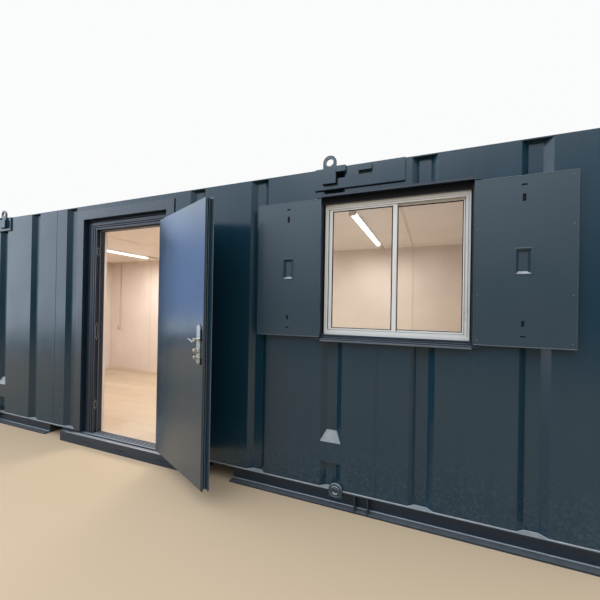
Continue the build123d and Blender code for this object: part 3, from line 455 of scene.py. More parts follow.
# %% [markdown]
# ## Glass, bright metal, rubber and lit covers
# The panes are clear float glass with a green cast in their edges. Door furniture is satin nickel, and its
# fine turning lines are short bands of noise. Rubbers are near black. The lit tubes give off their own
# light, which is an emission colour chosen by height, because the tube is the lower part of each fitting.

# %% Glass, nickel, zinc, rubber and lights
pane_glass, tree, shader, place = finish_named("pane_glass", Roughness=0.02, IOR=1.45)
shader.inputs["Transmission Weight"].default_value = 1.0
smears = noise(tree, place, 5.0, 5.0, 0.6)
GREEN_GLASS, CLEAR_GLASS = (0.90, 0.93, 0.91, 1.0), (0.93, 0.95, 0.93, 1.0)
give(tree, blend_colours(tree, smears, GREEN_GLASS, CLEAR_GLASS), shader.inputs["Base Color"])


def bright_metal(name, colour, dull, brushed):
    """Bare or plated metal: brushed is the scale of its fine lines along each axis."""
    made, tree, shader, place = finish_named(name, Metallic=1.0)
    lines = noise(tree, stretched(tree, place, brushed), 1.0, 4.0, 0.65)
    give(tree, tinted(tree, colour, vary(tree, lines, 0.88, 1.08)), shader.inputs["Base Color"])
    give(tree, vary(tree, lines, dull - 0.06, dull + 0.10), shader.inputs["Roughness"])
    rim = use(tree, soft_edge, {"Radius": 0.0015, "Strength": 0.0})
    raise_surface(tree, shader, lines, 0.08, 0.0005, Normal=rim["Normal"])
    return made


satin_nickel = bright_metal("satin_nickel", (0.50, 0.50, 0.46, 1.0), 0.28, (40.0, 40.0, 700.0))
zinc_plate = bright_metal("zinc_plate", (0.62, 0.63, 0.64, 1.0), 0.38, (90.0, 90.0, 90.0))
rubber = plain_inside("rubber", (0.008, 0.008, 0.009, 1.0), 0.70, grain=0.3, shine=0.10)
grey_seal = plain_inside("grey_seal", (0.130, 0.130, 0.142, 1.0), 0.50, grain=0.3)

TUBE_TOP = 2.2845
lit_cover, tree, shader, place = finish_named("lit_cover", Roughness=0.35)
shader.inputs["Base Color"].default_value = (0.92, 0.91, 0.88, 1.0)
shader.inputs["Emission Strength"].default_value = 3.0
height = add(tree, "ShaderNodeSeparateXYZ", {0: place}).outputs["Z"]
UNLIT, WARM_LIGHT = (0.02, 0.02, 0.02, 1.0), (1.0, 0.95, 0.90, 1.0)
lit = spread(tree, height, TUBE_TOP + 0.001, TUBE_TOP)
cloud = noise(tree, place, 30.0, 2.0)
give(tree, spread(tree, cloud, 0.0, 1.0, 0.30, 0.40), shader.inputs["Roughness"])
give(tree, blend_colours(tree, lit, UNLIT, WARM_LIGHT), shader.inputs["Emission Color"])
print("glass, metals and lights ready")

# %% [markdown]
# ## Finishes for the CAD pieces
# Each node of the CAD model has one job, so its finish follows from its name.

# %% Give every node its finish
finish_of = {
    wall_paint: (
        "front_wall_left front_wall_over_door front_wall_middle front_wall_over_window "
        "front_wall_under_window front_wall_right rear_wall end_walls rib_closures corner_posts "
        "roof_rim lifting_lugs lug_covers lower_eyes"
    ),
    door_paint: "door_leaf",
    shutter_paint: "shutter_left shutter_right",
    trim_paint: "door_trim door_hinges",
    opening_shade_paint: "door_frame threshold window_head_trim window_ledge window_surround",
    rail_paint: "base_rail_front base_rail_rear base_rails_end fork_pocket_heads door_sill_beam",
    base_steel: "fork_pocket_sides floor_joists",
    roof_steel: "roof",
    wall_board: (
        "front_lining_left front_lining_middle front_lining_window front_lining_right "
        "rear_lining end_linings door_lining"
    ),
    ceiling_board: "ceiling",
    skirting_paint: "skirting",
    timber: "roof_purlins",
    oak_floor: "floor",
    white_plastic: "socket_conduit",
    window_coat: "window_frame window_sashes",
    pane_glass: "window_glass",
    satin_nickel: "handle_plates door_lever",
    lit_cover: "ceiling_lights",
}
for finish, names in finish_of.items():
    for name in names.split():
        nodes[name].data.materials.clear()
        nodes[name].data.materials.append(finish)
bare = sorted(set(nodes) - {name for names in finish_of.values() for name in names.split()})
print("nodes without a finish:", bare)

# %% [markdown]
# ## Shapes from arrays
# Seals, welds and trims are all one idea: a small outline carried along a line. Screws and caps are another:
# a profile turned about an axis. Both are worked out as whole arrays of points, so a row of many screws
# costs no more code than one. A shell is a pair, its points and its faces.

# %% Grids, carried outlines and turned profiles
def unit(vector):
    """The same direction with a length of one."""
    vector = np.asarray(vector, float)
    return vector / np.linalg.norm(vector, axis=-1, keepdims=True)


def grid_faces(rows, columns, loop):
    """Faces of a tube of points, row by row. Columns always join round, and rows do when it is a loop."""
    row, column = np.meshgrid(np.arange(rows if loop else rows - 1), np.arange(columns), indexing="ij")
    next_row, next_column = (row + 1) % rows, (column + 1) % columns
    corners = (row * columns + column, row * columns + next_column)
    corners += (next_row * columns + next_column, next_row * columns + column)
    faces = np.stack(corners, axis=-1).reshape(-1, 4).tolist()
    if not loop:
        faces += [list(range(columns)), list(range((rows - 1) * columns, rows * columns))]
    return faces


def carry(path, outline, normal, loop=False, scale=None):
    """Carry an outline along a line that lies in a plane with this normal.

    A point is path + across * a * stretch + normal * b for each (a, b) of the outline. Across is the normal
    crossed with the line's direction, and stretch is 1 / cos(half the corner), which keeps a mitre's width.
    """
    path, outline, normal = np.asarray(path, float), np.asarray(outline, float), unit(normal)
    if loop:
        before, after = unit(path - np.roll(path, 1, axis=0)), unit(np.roll(path, -1, axis=0) - path)
    else:
        steps = unit(np.diff(path, axis=0))
        before, after = np.vstack([steps[:1], steps]), np.vstack([steps, steps[-1:]])
    across = np.cross(normal, unit(before + after))
    stretch = 1.0 / np.sqrt((1.0 + (before * after).sum(axis=1)) / 2.0)
    size = np.ones(len(path)) if scale is None else np.asarray(scale, float)
    sideways = across[:, None, :] * (stretch * size)[:, None, None] * outline[None, :, 0, None]
    lifted = normal * size[:, None, None] * outline[None, :, 1, None]
    points = (path[:, None, :] + sideways + lifted).reshape(-1, 3)
    return points, grid_faces(len(path), len(outline), loop)


def turned(profile, centre, axis, steps=16):
    """Turn a profile of (radius, height) about an axis through a centre, with flat ends."""
    profile, axis = np.asarray(profile, float), unit(axis)
    first = unit(np.cross(axis, (0.0, 0.0, 1.0) if abs(axis[2]) < 0.9 else (1.0, 0.0, 0.0)))
    second = np.cross(axis, first)
    angle = np.arange(steps) * 2.0 * np.pi / steps
    ring = np.cos(angle)[:, None] * first + np.sin(angle)[:, None] * second
    points = centre + profile[:, 0, None, None] * ring + profile[:, 1, None, None] * axis
    return points.reshape(-1, 3), grid_faces(len(profile), steps, False)


def rounded_outline(x0, x1, y0, y1, radius, steps=3):
    """A rectangle with round corners, as (a, b) points in order."""
    quarter = np.linspace(0.0, np.pi / 2.0, steps)
    corners = ((x1 - radius, y1 - radius, 0.0), (x0 + radius, y1 - radius, 0.5))
    corners += ((x0 + radius, y0 + radius, 1.0), (x1 - radius, y0 + radius, 1.5))
    turns = [(x, y, quarter + start * np.pi) for x, y, start in corners]
    arcs = [np.stack([x + radius * np.cos(t), y + radius * np.sin(t)], axis=1) for x, y, t in turns]
    return np.concatenate(arcs)


def half_round(width, height, steps=7):
    """A flat-bottomed round bead, as (a, b) points: the bottom is sunk a little so that it has no gap."""
    angle = np.linspace(0.0, np.pi, steps)
    arch = np.stack([np.cos(angle) * width / 2.0, np.sin(angle) * height], axis=1)
    sunk = 0.0004
    return np.vstack([arch, [(-width / 2.0, -sunk), (width / 2.0, -sunk)]])


def copies(shell, places):
    """The same shell at each place."""
    return [(shell[0] + np.asarray(place, float), shell[1]) for place in places]


def half_turn(shell):
    """The same shell on the opposite long wall: x and y change sign."""
    return shell[0] * (-1.0, -1.0, 1.0), shell[1]


def other_hand(shell):
    """The same shell mirrored to the other end of its wall: x changes sign."""
    return shell[0] * (-1.0, 1.0, 1.0), shell[1]


def upright_line(x, y, z0, z1):
    """The two ends of a vertical line."""
    return [(x, y, z0), (x, y, z1)]


def wall_line(x0, x1, y, z):
    """The two ends of a level line along the wall."""
    return [(x0, y, z), (x1, y, z)]


def piece(name, shells, finish, body="cabin", sharp=40.0):
    """Join shells into one object at the origin, turn their faces outwards and let it ride on a body."""
    starts = np.cumsum([0] + [len(points) for points, _ in shells])
    points = np.concatenate([points for points, _ in shells])
    numbered = zip(starts.tolist(), shells)
    faces = [[i + start for i in face] for start, (_, shell) in numbered for face in shell]
    mesh = bpy.data.meshes.new(name)
    mesh.from_pydata(points.tolist(), [], faces)
    turn_out = bmesh.new()
    turn_out.from_mesh(mesh)
    bmesh.ops.recalc_face_normals(turn_out, faces=turn_out.faces)
    turn_out.to_mesh(mesh)
    turn_out.free()
    mesh.polygons.foreach_set("use_smooth", np.ones(len(mesh.polygons), bool))
    mesh.set_sharp_from_angle(angle=np.radians(sharp))
    mesh.materials.append(finish)
    made = bpy.data.objects.new(name, mesh)
    bpy.context.scene.collection.objects.link(made)
    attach(made, body)
    print(name, "faces:", len(faces))
    return made


# %% [markdown]
# ## Places taken from the frame
# Nothing is measured twice. The boxes of the CAD nodes say where the wall, the door and the window are, and
# only the sizes of what is added here are new numbers.

# %% Places
OUT = np.array([0.0, -1.0, 0.0])
UP = np.array([0.0, 0.0, 1.0])
half_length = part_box("roof_rim")[1].x
front_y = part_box("roof_rim")[0].y
rail_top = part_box("front_wall_left")[0].z
wall_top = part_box("front_wall_left")[1].z
print("front at", round(front_y, 4), "rail top", round(rail_top, 4), "wall top", round(wall_top, 4))
FIRST_RIB, RIB_PITCH = 0.820, 0.610
RIB_CENTRES = [FIRST_RIB + RIB_PITCH * i for i in range(5)]
RIB_MOUTH, RIB_FLOOR, RIB_DEPTH = 0.156, 0.074, 0.036
POST_WIDTH, SEAM_LEFT, SEAM_RIGHT, TRIM_GAP = 0.080, -1.066, 2.362, 0.002


def along_ribs(start, stop, centres, z):
    """The outer line of a front wall sheet at one height, following its pressed ribs."""
    line = [(start, 0.0)]
    for centre in centres:
        if start < centre - RIB_MOUTH / 2 and centre + RIB_MOUTH / 2 < stop:
            line += [(centre - RIB_MOUTH / 2, 0.0), (centre - RIB_FLOOR / 2, RIB_DEPTH)]
            line += [(centre + RIB_FLOOR / 2, RIB_DEPTH), (centre + RIB_MOUTH / 2, 0.0)]
    line.append((stop, 0.0))
    return np.array([(x, front_y + y, z) for x, y in line])


# %% [markdown]
# ## Welds on the walls
# The sheets are welded to the base rail all along their foot, to the corner posts, and to each other where
# two sheets meet. The foot weld follows the ribs in and out. The same welds repeat on the rear wall.

# %% Wall welds
FOOT_WELD = half_round(0.009, 0.0045)
SEAM_WELD = half_round(0.010, 0.0016)
all_ribs = [-c for c in RIB_CENTRES[::-1]] + RIB_CENTRES
post_line = half_length - POST_WIDTH
door_low, door_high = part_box("door_trim")
foot_lines = [
    along_ribs(-post_line, door_low.x - TRIM_GAP, all_ribs, rail_top),
    along_ribs(door_high.x + TRIM_GAP, post_line, all_ribs, rail_top),
]
foot_welds = [carry(line, FOOT_WELD, UP) for line in foot_lines]
rear_foot = half_turn(carry(along_ribs(-post_line, post_line, all_ribs, rail_top), FOOT_WELD, UP))
seams = [
    (SEAM_LEFT, rail_top, wall_top), (SEAM_RIGHT, rail_top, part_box("window_ledge")[0].z),
    (SEAM_RIGHT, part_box("window_head_trim")[1].z, wall_top),
    (-post_line, rail_top, wall_top), (post_line, rail_top, wall_top),
]
seam_welds = [carry(upright_line(x, front_y, z0, z1), SEAM_WELD, OUT) for x, z0, z1 in seams]
for x in (-post_line, -SEAM_RIGHT, -SEAM_LEFT, post_line):
    seam_welds.append(half_turn(carry(upright_line(x, front_y, rail_top, wall_top), SEAM_WELD, OUT)))
piece("wall_welds", foot_welds + [rear_foot] + seam_welds, wall_paint)


# %% [markdown]
# ## Sliding sashes and panes
# The window has two glazed sashes in two tracks, one behind the other, and their stiles pass each other in
# the middle. The CAD's sashes have wider rails than the real ones, so slimmer bars replace them here, and
# the panes that they hold are larger. A bar is a soft-edged outline carried along its longer side. The panes
# keep sharp edges, because smooth shading round an edge would bend what is seen through them.

# %% Window sashes and panes
frame_low, frame_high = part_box("window_frame")
sash_low, sash_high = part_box("window_sashes")
STILE, RAIL, SASH_DEEP, TRACK_STEP, MEETING_OFFSET = 0.028, 0.012, 0.020, 0.024, 0.018
PANE_FACE, PANE_BACK, BAR_ROUND = 0.007, 0.013, 0.0014
meeting = (frame_low.x + frame_high.x) / 2 + MEETING_OFFSET
low_z, high_z = sash_low.z + RAIL, sash_high.z - RAIL
SASHES = (
    (sash_low.x, meeting + STILE / 2, sash_low.y, STILE),
    (meeting - STILE / 2, sash_high.x, sash_low.y + TRACK_STEP, RAIL),
)


def bar(x0, x1, z0, z1, y0, y1):
    """A straight bar with soft edges that fills this box, carried along its longer side."""
    tall = z1 - z0 > x1 - x0
    x, z, half = (x0 + x1) / 2, (z0 + z1) / 2, min(x1 - x0, z1 - z0) / 2
    ends = upright_line(x, y1, z0, z1) if tall else wall_line(x0, x1, y1, z)
    return carry(ends, rounded_outline(-half, half, 0.0, y1 - y0, BAR_ROUND, 3), OUT)


pane_spans, sash_bars, panes = [], [], []
for x0, x1, y, right_stile in SASHES:
    inner, outer = x0 + STILE, x1 - right_stile
    stiles = ((x0, inner, sash_low.z, sash_high.z), (outer, x1, sash_low.z, sash_high.z))
    rails = ((inner, outer, sash_low.z, low_z), (inner, outer, high_z, sash_high.z))
    sash_bars += [bar(*box, y, y + SASH_DEEP) for box in stiles + rails]
    panes.append(bar(inner, outer, low_z, high_z, y + PANE_FACE, y + PANE_BACK))
    pane_spans.append((inner, outer, y))
slim_sashes = piece("window_slim_sashes", sash_bars, window_coat, sharp=20.0)
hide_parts("window_sashes")
sash_panes = piece("window_panes", panes, pane_glass, sharp=5.0)
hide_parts("window_glass")

# %% [markdown]
# ## Glazing rubbers, window seals and painted shade lines
# Each pane is held by a black rubber on both faces. Thin black lines show where the two sashes meet each
# other and the frame, a black strip closes the joint between the window and the steel at each side, and two
# grey lines at the right are painted shade beside the profile ridges. All are thin outlines carried round a
# rectangle or along a line.

# %% Window rubbers
def rectangle_path(x0, x1, z0, z1, y):
    """The four corners of an upright rectangle facing the front."""
    return np.array([(x0, y, z0), (x1, y, z0), (x1, y, z1), (x0, y, z1)])


def inset_path(low, high, inset, y):
    """The upright rectangle of a box, drawn in by an inset on all four sides."""
    return rectangle_path(low.x + inset, high.x - inset, low.z + inset, high.z - inset, y)


def strip(line, wide, proud, normal, sunk=0.0005):
    """A flat strip with soft edges along a line, this wide and this proud of the surface it lies on."""
    outline = rounded_outline(-wide / 2, wide / 2, -sunk, proud, min(wide, proud) / 3, 2)
    return carry(line, outline, normal)


def strips(rows, normal):
    """A strip for each row of line, width and height."""
    return [strip(line, wide, proud, normal) for line, wide, proud in rows]


GASKET = rounded_outline(-0.001, 0.005, -0.001, 0.0025, 0.001, 2)
rubbers = []
for x0, x1, y in pane_spans:
    rubbers.append(carry(rectangle_path(x0, x1, low_z, high_z, y + PANE_FACE), GASKET, OUT, loop=True))
    rubbers.append(carry(rectangle_path(x0, x1, low_z, high_z, y + PANE_BACK)[::-1], GASKET, -OUT, loop=True))
meeting_line = upright_line(meeting - STILE / 2 - 0.003, sash_low.y + PANE_FACE, low_z, high_z)
rubbers += strips([
    (meeting_line, 0.009, 0.0035),
    (upright_line(sash_low.x + 0.003, sash_low.y, sash_low.z, sash_high.z), 0.006, 0.0015),
    (wall_line(sash_low.x, sash_high.x, sash_low.y, sash_low.z + 0.001), 0.002, 0.001),
    (wall_line(sash_low.x, sash_high.x, sash_low.y, sash_high.z - 0.001), 0.002, 0.001),
    (upright_line(frame_low.x + 0.0055, frame_low.y, frame_low.z, frame_high.z), 0.011, 0.003),
    (upright_line(frame_high.x - 0.004, frame_low.y, frame_low.z, frame_high.z), 0.008, 0.003),
], OUT)
piece("window_rubbers", rubbers, rubber)
# Two grey strips at the right are painted shade lines beside the profile ridges.
piece("window_shade_lines", strips([
    (upright_line(sash_high.x - 0.004, sash_low.y + TRACK_STEP, sash_low.z, sash_high.z), 0.004, 0.0015),
    (upright_line(frame_high.x - 0.0205, frame_low.y, frame_low.z + 0.02, frame_high.z - 0.02), 0.003, 0.001),
], OUT), grey_seal)

# %% [markdown]
# Above the window a black strip behind the head trim is painted shade. Below the window the ledge has rolled
# lips that catch the light, and so has the head trim. The window profiles have small raised ribs, which is
# what makes a row of fine light lines round the panes. All are beads carried along lines.

# %% Head shade strip, ledge lips and profile ribs
HEAD_UNDER, LEDGE_TOP, LEDGE_FRONT = wall_top - 0.208, frame_low.z - 0.029, -0.045
# A black strip under the head trim is painted shade.
HEAD_SHADE = rounded_outline(-0.0205, 0.0205, 0.0005, 0.0065, 0.001, 2)
head_shade_line = wall_line(frame_low.x, frame_high.x, front_y, (frame_high.z + HEAD_UNDER) / 2)
piece("head_shade_strip", [carry(head_shade_line, HEAD_SHADE, OUT)], rubber)

LIP = half_round(0.003, 0.0018, 5)
lip_places = (
    (-0.0035, LEDGE_TOP + 0.011, UP), (-0.0225, LEDGE_TOP, UP), (-0.0395, LEDGE_TOP - 0.009, UP),
    (LEDGE_FRONT, LEDGE_TOP - 0.0165, OUT), (LEDGE_FRONT, HEAD_UNDER + 0.003, OUT),
)
lips = []
for y, z, normal in lip_places:
    lips.append(carry(wall_line(frame_low.x, frame_high.x, front_y + y, z), LIP, normal))
piece("ledge_lips", lips, trim_paint)

RIB, STEP_BACK, SASH_RIB = half_round(0.0028, 0.0018, 5), 0.007, 0.006
rib_places = ((0.013, 0.0), (0.017, 0.0), (0.0265, STEP_BACK), (0.0315, STEP_BACK))
rings = [inset_path(frame_low, frame_high, inset, frame_low.y + back) for inset, back in rib_places]
rib_z0, rib_z1 = sash_low.z + SASH_RIB, sash_high.z - SASH_RIB
rings += [rectangle_path(x0 + SASH_RIB, x1 - SASH_RIB, rib_z0, rib_z1, y) for x0, x1, y, _ in SASHES]
profile_ribs = [carry(ring, RIB, OUT, loop=True) for ring in rings]
CATCH, CATCH_HALF = rounded_outline(-0.007, 0.007, 0.0, 0.010, 0.003, 3), 0.04
catch_z = (sash_low.z + sash_high.z) / 2
catch_line = upright_line(meeting, sash_high.y, catch_z - CATCH_HALF, catch_z + CATCH_HALF)
profile_ribs.append(carry(catch_line, CATCH, -OUT))
piece("window_profile_ribs", profile_ribs, window_coat)

# %% [markdown]
# ## Door frame
# From the trim inwards the frame has a dark groove with a thin ridge in it, a face with two seals, a return
# with three keeper plates, and a stop with a paler seal. Each line is an outline carried up one side, across
# the head and down the other, so one table of lines serves each piece.

# %% Frame ridges, seals and keepers
JAMB_LEFT, JAMB_RIGHT, HEAD_LINE, FRAME_FOOT = -0.483, 0.393, 2.192, 0.113
FACE_DEPTH, STOP_DEPTH, GROOVE_DEPTH = 0.034, 0.072, 0.060


def portal_path(left, right, top, depth, bottom=FRAME_FOOT):
    """An upside-down U round the doorway, at a depth behind the wall face."""
    y = front_y + depth
    return np.array([(left, y, bottom), (left, y, top), (right, y, top), (right, y, bottom)])


def portals(rows):
    """An outline carried round the doorway for each row of left, right, top, depth and outline."""
    return [carry(portal_path(*place), outline, OUT) for *place, outline in rows]


RIDGE = rounded_outline(-0.003, 0.003, -0.0005, 0.022, 0.001, 2)
SEAL = rounded_outline(-0.003, 0.003, -0.0005, 0.0035, 0.0012, 3)
STOP_SEAL = rounded_outline(-0.005, 0.005, -0.0005, 0.0055, 0.002, 3)
piece("door_frame_ridges", portals([
    (-0.601, 0.466, 2.281, GROOVE_DEPTH, RIDGE),
    (-0.5765, 0.4535, 2.2635, FACE_DEPTH, half_round(0.003, 0.0015, 5)),
    (JAMB_LEFT - 0.002, JAMB_RIGHT + 0.002, HEAD_LINE + 0.002, FACE_DEPTH, half_round(0.0035, 0.0015, 5)),
]), shutter_paint)
piece("door_face_seals", portals([
    (-0.505, 0.415, 2.214, FACE_DEPTH, SEAL),
    (-0.535, 0.432, 2.232, FACE_DEPTH, SEAL * (1.2, 0.5)),
]), rubber)
stop_line = (JAMB_LEFT + 0.009, JAMB_RIGHT - 0.009, HEAD_LINE - 0.006, STOP_DEPTH, STOP_SEAL)
piece("door_stop_seal", portals([stop_line]), grey_seal)

INWARDS = np.array([1.0, 0.0, 0.0])
SCREW = [(0.0042, -0.0005), (0.0042, 0.0006), (0.0034, 0.0013), (0.0016, 0.0015), (0.0014, 0.0008)]
KEEPER_NEAR, KEEPER_FAR, KEEPER_RIM, SCREW_AWAY = front_y + 0.0425, front_y + 0.0635, 0.0015, 0.014
keeper_middle = (KEEPER_NEAR + KEEPER_FAR) / 2
keepers = []
for z, tall in ((0.398, 0.060), (1.151, 0.130), (1.973, 0.060)):
    z0, z1 = z - tall / 2 - KEEPER_RIM, z + tall / 2 + KEEPER_RIM
    corners = ((KEEPER_NEAR, z0), (KEEPER_FAR, z0), (KEEPER_FAR, z1), (KEEPER_NEAR, z1))
    ring = [(JAMB_LEFT, *corner) for corner in corners]
    keepers.append(carry(ring, half_round(0.0035, 0.0018, 5), INWARDS, loop=True))
    for screw_z in (z0 - SCREW_AWAY, z1 + SCREW_AWAY):
        keepers.append(turned(SCREW, (JAMB_LEFT, keeper_middle, screw_z), INWARDS, 10))
piece("door_keepers", keepers, zinc_plate)

# %% [markdown]
# ## Sill and threshold
# The sill is stepped on, so its front edge is a bare metal nosing, and grip lines run along it and along the
# threshold. Dark fills inside the long drain slots in its face are painted shade.

# %% Sill nosing, treads and slot shades
sill_low, sill_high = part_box("door_sill_beam")
GRIP_TOP, TREAD_TOP, GRIP_INSET = 0.118, 0.112, 0.02
sill_rows = [(wall_line(-0.80, 0.80, sill_low.y + 0.005, sill_high.z), 0.010, 0.0022)]
for inset in (0.018, 0.025, 0.032):
    sill_rows.append((wall_line(-0.72, 0.56, sill_low.y + inset, sill_high.z), 0.0028, 0.0014))
sill_strips = strips(sill_rows, UP)
for depth in (0.027, 0.049, 0.071, 0.093):
    line = wall_line(JAMB_LEFT + GRIP_INSET, JAMB_RIGHT - GRIP_INSET, front_y + depth, GRIP_TOP)
    sill_strips.append(carry(line, half_round(0.004, 0.0012, 5), UP))
piece("sill_nosing", sill_strips, zinc_plate)
tread_lines = [wall_line(-0.575, 0.452, front_y + depth, TREAD_TOP) for depth in (0.004, 0.0115, 0.019)]
piece("threshold_treads", strips([(line, 0.0065, 0.0012) for line in tread_lines], UP), worn_tread)

SLOT_Z, SLOT_HALF, SLOT_DEPTH = 0.042, 0.0545, sill_low.y + 0.0045
# The dark fills in the drain slots are painted shade.
SLOT_SHADE = rounded_outline(-0.0048, 0.0048, -0.003, 0.0015, 0.001, 2)
slot_lines = [wall_line(x - SLOT_HALF, x + SLOT_HALF, SLOT_DEPTH, SLOT_Z) for x in (-0.490, 0.0, 0.490)]
piece("sill_slot_shades", [carry(line, SLOT_SHADE, OUT) for line in slot_lines], rubber)

# %% [markdown]
# ## The open door
# The door is drawn closed, where its lines are straight, and every shell is then turned about the hinge
# pins to the place where the CAD leaf stands. Its edge has a seal between thin steel lips, and the lock edge
# has a full-height strip with a lock plate, a latch and three bolts. A brush under the leaf sweeps the
# threshold.

# %% Turn a closed door piece to its rest place
PINS = np.array([0.436, front_y + 0.008, 0.0])
SWING = np.radians(155.0)


def opened(shell):
    """Turn about the pins: x becomes x cos t - y sin t and y becomes x sin t + y cos t."""
    cos, sin = np.cos(SWING), np.sin(SWING)
    turn = np.array([(cos, sin, 0.0), (-sin, cos, 0.0), (0.0, 0.0, 1.0)])
    return (shell[0] - PINS) @ turn + PINS, shell[1]


LEAF_LEFT, LEAF_RIGHT, LEAF_TOP, LEAF_BOTTOM = -0.476, 0.386, 2.185, 0.145
LEAF_OUT, LEAF_IN = 0.018, 0.063


def leaf_edge(depth, outline):
    """An outline carried up the lock edge, over the top and down the hinge edge of the closed leaf."""
    path = portal_path(LEAF_LEFT, LEAF_RIGHT, LEAF_TOP, depth, LEAF_BOTTOM + 0.002)
    return opened(carry(path, outline, OUT))


BRUSH = rounded_outline(-0.011, 0.011, -0.002, 0.002, 0.0008, 2)
BRUSH_INSET, BRUSH_DEPTH, BRUSH_DROP = 0.006, 0.044, 0.010
edge_seal = leaf_edge(0.0425, rounded_outline(-0.0055, 0.0012, -0.0036, 0.0036, 0.0012, 3))
brush_line = wall_line(
    LEAF_LEFT + BRUSH_INSET, LEAF_RIGHT - BRUSH_INSET, front_y + BRUSH_DEPTH, LEAF_BOTTOM - BRUSH_DROP
)
piece("door_leaf_seal", [edge_seal, opened(carry(brush_line, BRUSH, OUT))], rubber, "door")

LIP_ROUND = rounded_outline(-0.0005, 0.0012, -0.0012, 0.0012, 0.0005, 2)
SKIN_EDGE, SKIN_DEPTH = -0.519, front_y + 0.0205
leaf_lips = [leaf_edge(depth, LIP_ROUND) for depth in (0.0345, 0.0480)]
skin_line = upright_line(SKIN_EDGE, SKIN_DEPTH, LEAF_BOTTOM, LEAF_TOP)
leaf_lips.append(opened(carry(skin_line, half_round(0.0030, 0.0010, 5), -INWARDS)))
# The lips are painted lighter, a painted highlight along them.
piece("door_leaf_lips", leaf_lips, highlight_edge_paint, "door")

# %% Lock edge, latch and bolts
LOCK_DEPTH, BOLT_PLATE, STRIP_END = front_y + 0.0552, 0.020, 0.004
lock_rows = [
    (LEAF_BOTTOM + STRIP_END, LEAF_TOP - STRIP_END, 0.0120, 0.0008),
    (1.030, 1.270, 0.0130, 0.0012),
    (1.182, 1.202, 0.0090, 0.0030),
]
for z, tall in ((0.398, 0.040), (1.090, 0.030), (1.973, 0.040)):
    lock_rows.append((z - tall / 2 - BOLT_PLATE, z + tall / 2 + BOLT_PLATE, 0.0125, 0.0010))
    lock_rows.append((z - tall / 2, z + tall / 2, 0.0080, 0.0028))
lock_lines = [(upright_line(LEAF_LEFT, LOCK_DEPTH, z0, z1), wide, proud) for z0, z1, wide, proud in lock_rows]
piece("door_lock_edge", [opened(shell) for shell in strips(lock_lines, -INWARDS)], shutter_paint, "door")

# %% [markdown]
# ## Door lever
# The real lever is a cast bar with an oval section that dips and rises again to a thin tip. The CAD keeps it
# flat, so this piece replaces it: an ellipse is carried along a smooth line through a few points, and it
# shrinks on the way. Each point is a distance along, a height and a thickness. The neck is a turned profile.

# %% Curved lever
LEVER_POINTS = np.array([
    (-5.0, -5.0, 8.0), (12.0, -14.0, 7.8), (28.0, -20.0, 7.0), (44.0, -13.0, 5.5), (62.0, -6.5, 4.5),
    (106.0, -3.0, 2.6),
]) / 1000.0
SPINDLE = np.array([-0.418, front_y, 1.192])
TIP, PLATE_THICK, LEVER_IN, LEVER_OUT = 0.45, 0.008, 0.105, -0.024
PLATE_IN, PLATE_OUT = LEAF_IN + PLATE_THICK, LEAF_OUT - PLATE_THICK
NECK = [
    (0.0125, 0.0), (0.0125, 0.0025), (0.0110, 0.0050), (0.0088, 0.0090), (0.0080, 0.0240), (0.0080, 0.0300),
    (0.0076, 0.0370), (0.0050, 0.0395),
]


def smooth_line(points, steps):
    """A line through the points: each span is a + b t + c t^2 + d t^3, with slopes from the neighbours."""
    slope = np.gradient(points, axis=0)
    t = np.linspace(0.0, 1.0, steps, endpoint=False)[None, :, None]
    p0, p1, m0, m1 = points[:-1, None], points[1:, None], slope[:-1, None], slope[1:, None]
    ends = p0 * (2 * t**3 - 3 * t**2 + 1) + m0 * (t**3 - 2 * t**2 + t)
    span = ends + p1 * (3 * t**2 - 2 * t**3) + m1 * (t**3 - t**2)
    return np.vstack([span.reshape(-1, points.shape[1]), points[-1:]])


def oval(half_a, half_b, steps=16):
    """An ellipse as (a, b) points."""
    angle = np.arange(steps) * 2.0 * np.pi / steps
    return np.stack([np.cos(angle) * half_a, np.sin(angle) * half_b], axis=1)


line = smooth_line(LEVER_POINTS, 8)
thick = line[:, 2] / line[0, 2]
thick[-1] *= TIP
lever_shells = []
for depth, plate_depth, away in ((LEVER_IN, PLATE_IN, -OUT), (LEVER_OUT, PLATE_OUT, OUT)):
    middle = SPINDLE + np.stack([line[:, 0], np.full(len(line), depth), line[:, 1]], axis=1)
    lever_shells.append(carry(middle, oval(0.009, 0.0065), -OUT, scale=thick))
    lever_shells.append(turned(NECK, SPINDLE + (0.0, plate_depth, 0.0), away, 24))
lever_shells = [opened(shell) for shell in lever_shells]
door_lever = piece("door_lever_curved", lever_shells, satin_nickel, "lever", 50.0)
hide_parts("door_lever")

# %% [markdown]
# Screws hold the two handle plates, a black strip at the foot of each is the painted shade of its key slot,
# and two round knobs turn the locks. Black strips beside the inner plate, at its top and its foot, are
# painted shadow.

# %% Turn knobs, plate screws, key slot shades and plate shadows
KNOB = np.array([(0.0080, -0.0048), (0.0125, -0.0038), (0.0155, 0.0), (0.0125, 0.0038), (0.0080, 0.0048)])
screw_shells, shade_shells, knobs = [], [], []
for depth, away in ((PLATE_IN, -OUT), (PLATE_OUT, OUT)):
    for z in (1.268, 1.125):
        screw_shells.append(turned(SCREW, (SPINDLE[0], front_y + depth, z), away, 12))
    # A black strip at the plate's foot is the key slot's painted shade.
    shade_shells.append(strip(upright_line(SPINDLE[0], front_y + depth, 1.020, 1.040), 0.004, 0.0006, away))
for depth in (LEAF_IN + 0.033, LEAF_OUT - 0.029):
    for z, size in ((1.113, 1.0), (1.065, 0.8)):
        knobs.append(turned(KNOB * (size, 1.0), (SPINDLE[0], front_y + depth, z), INWARDS, 24))
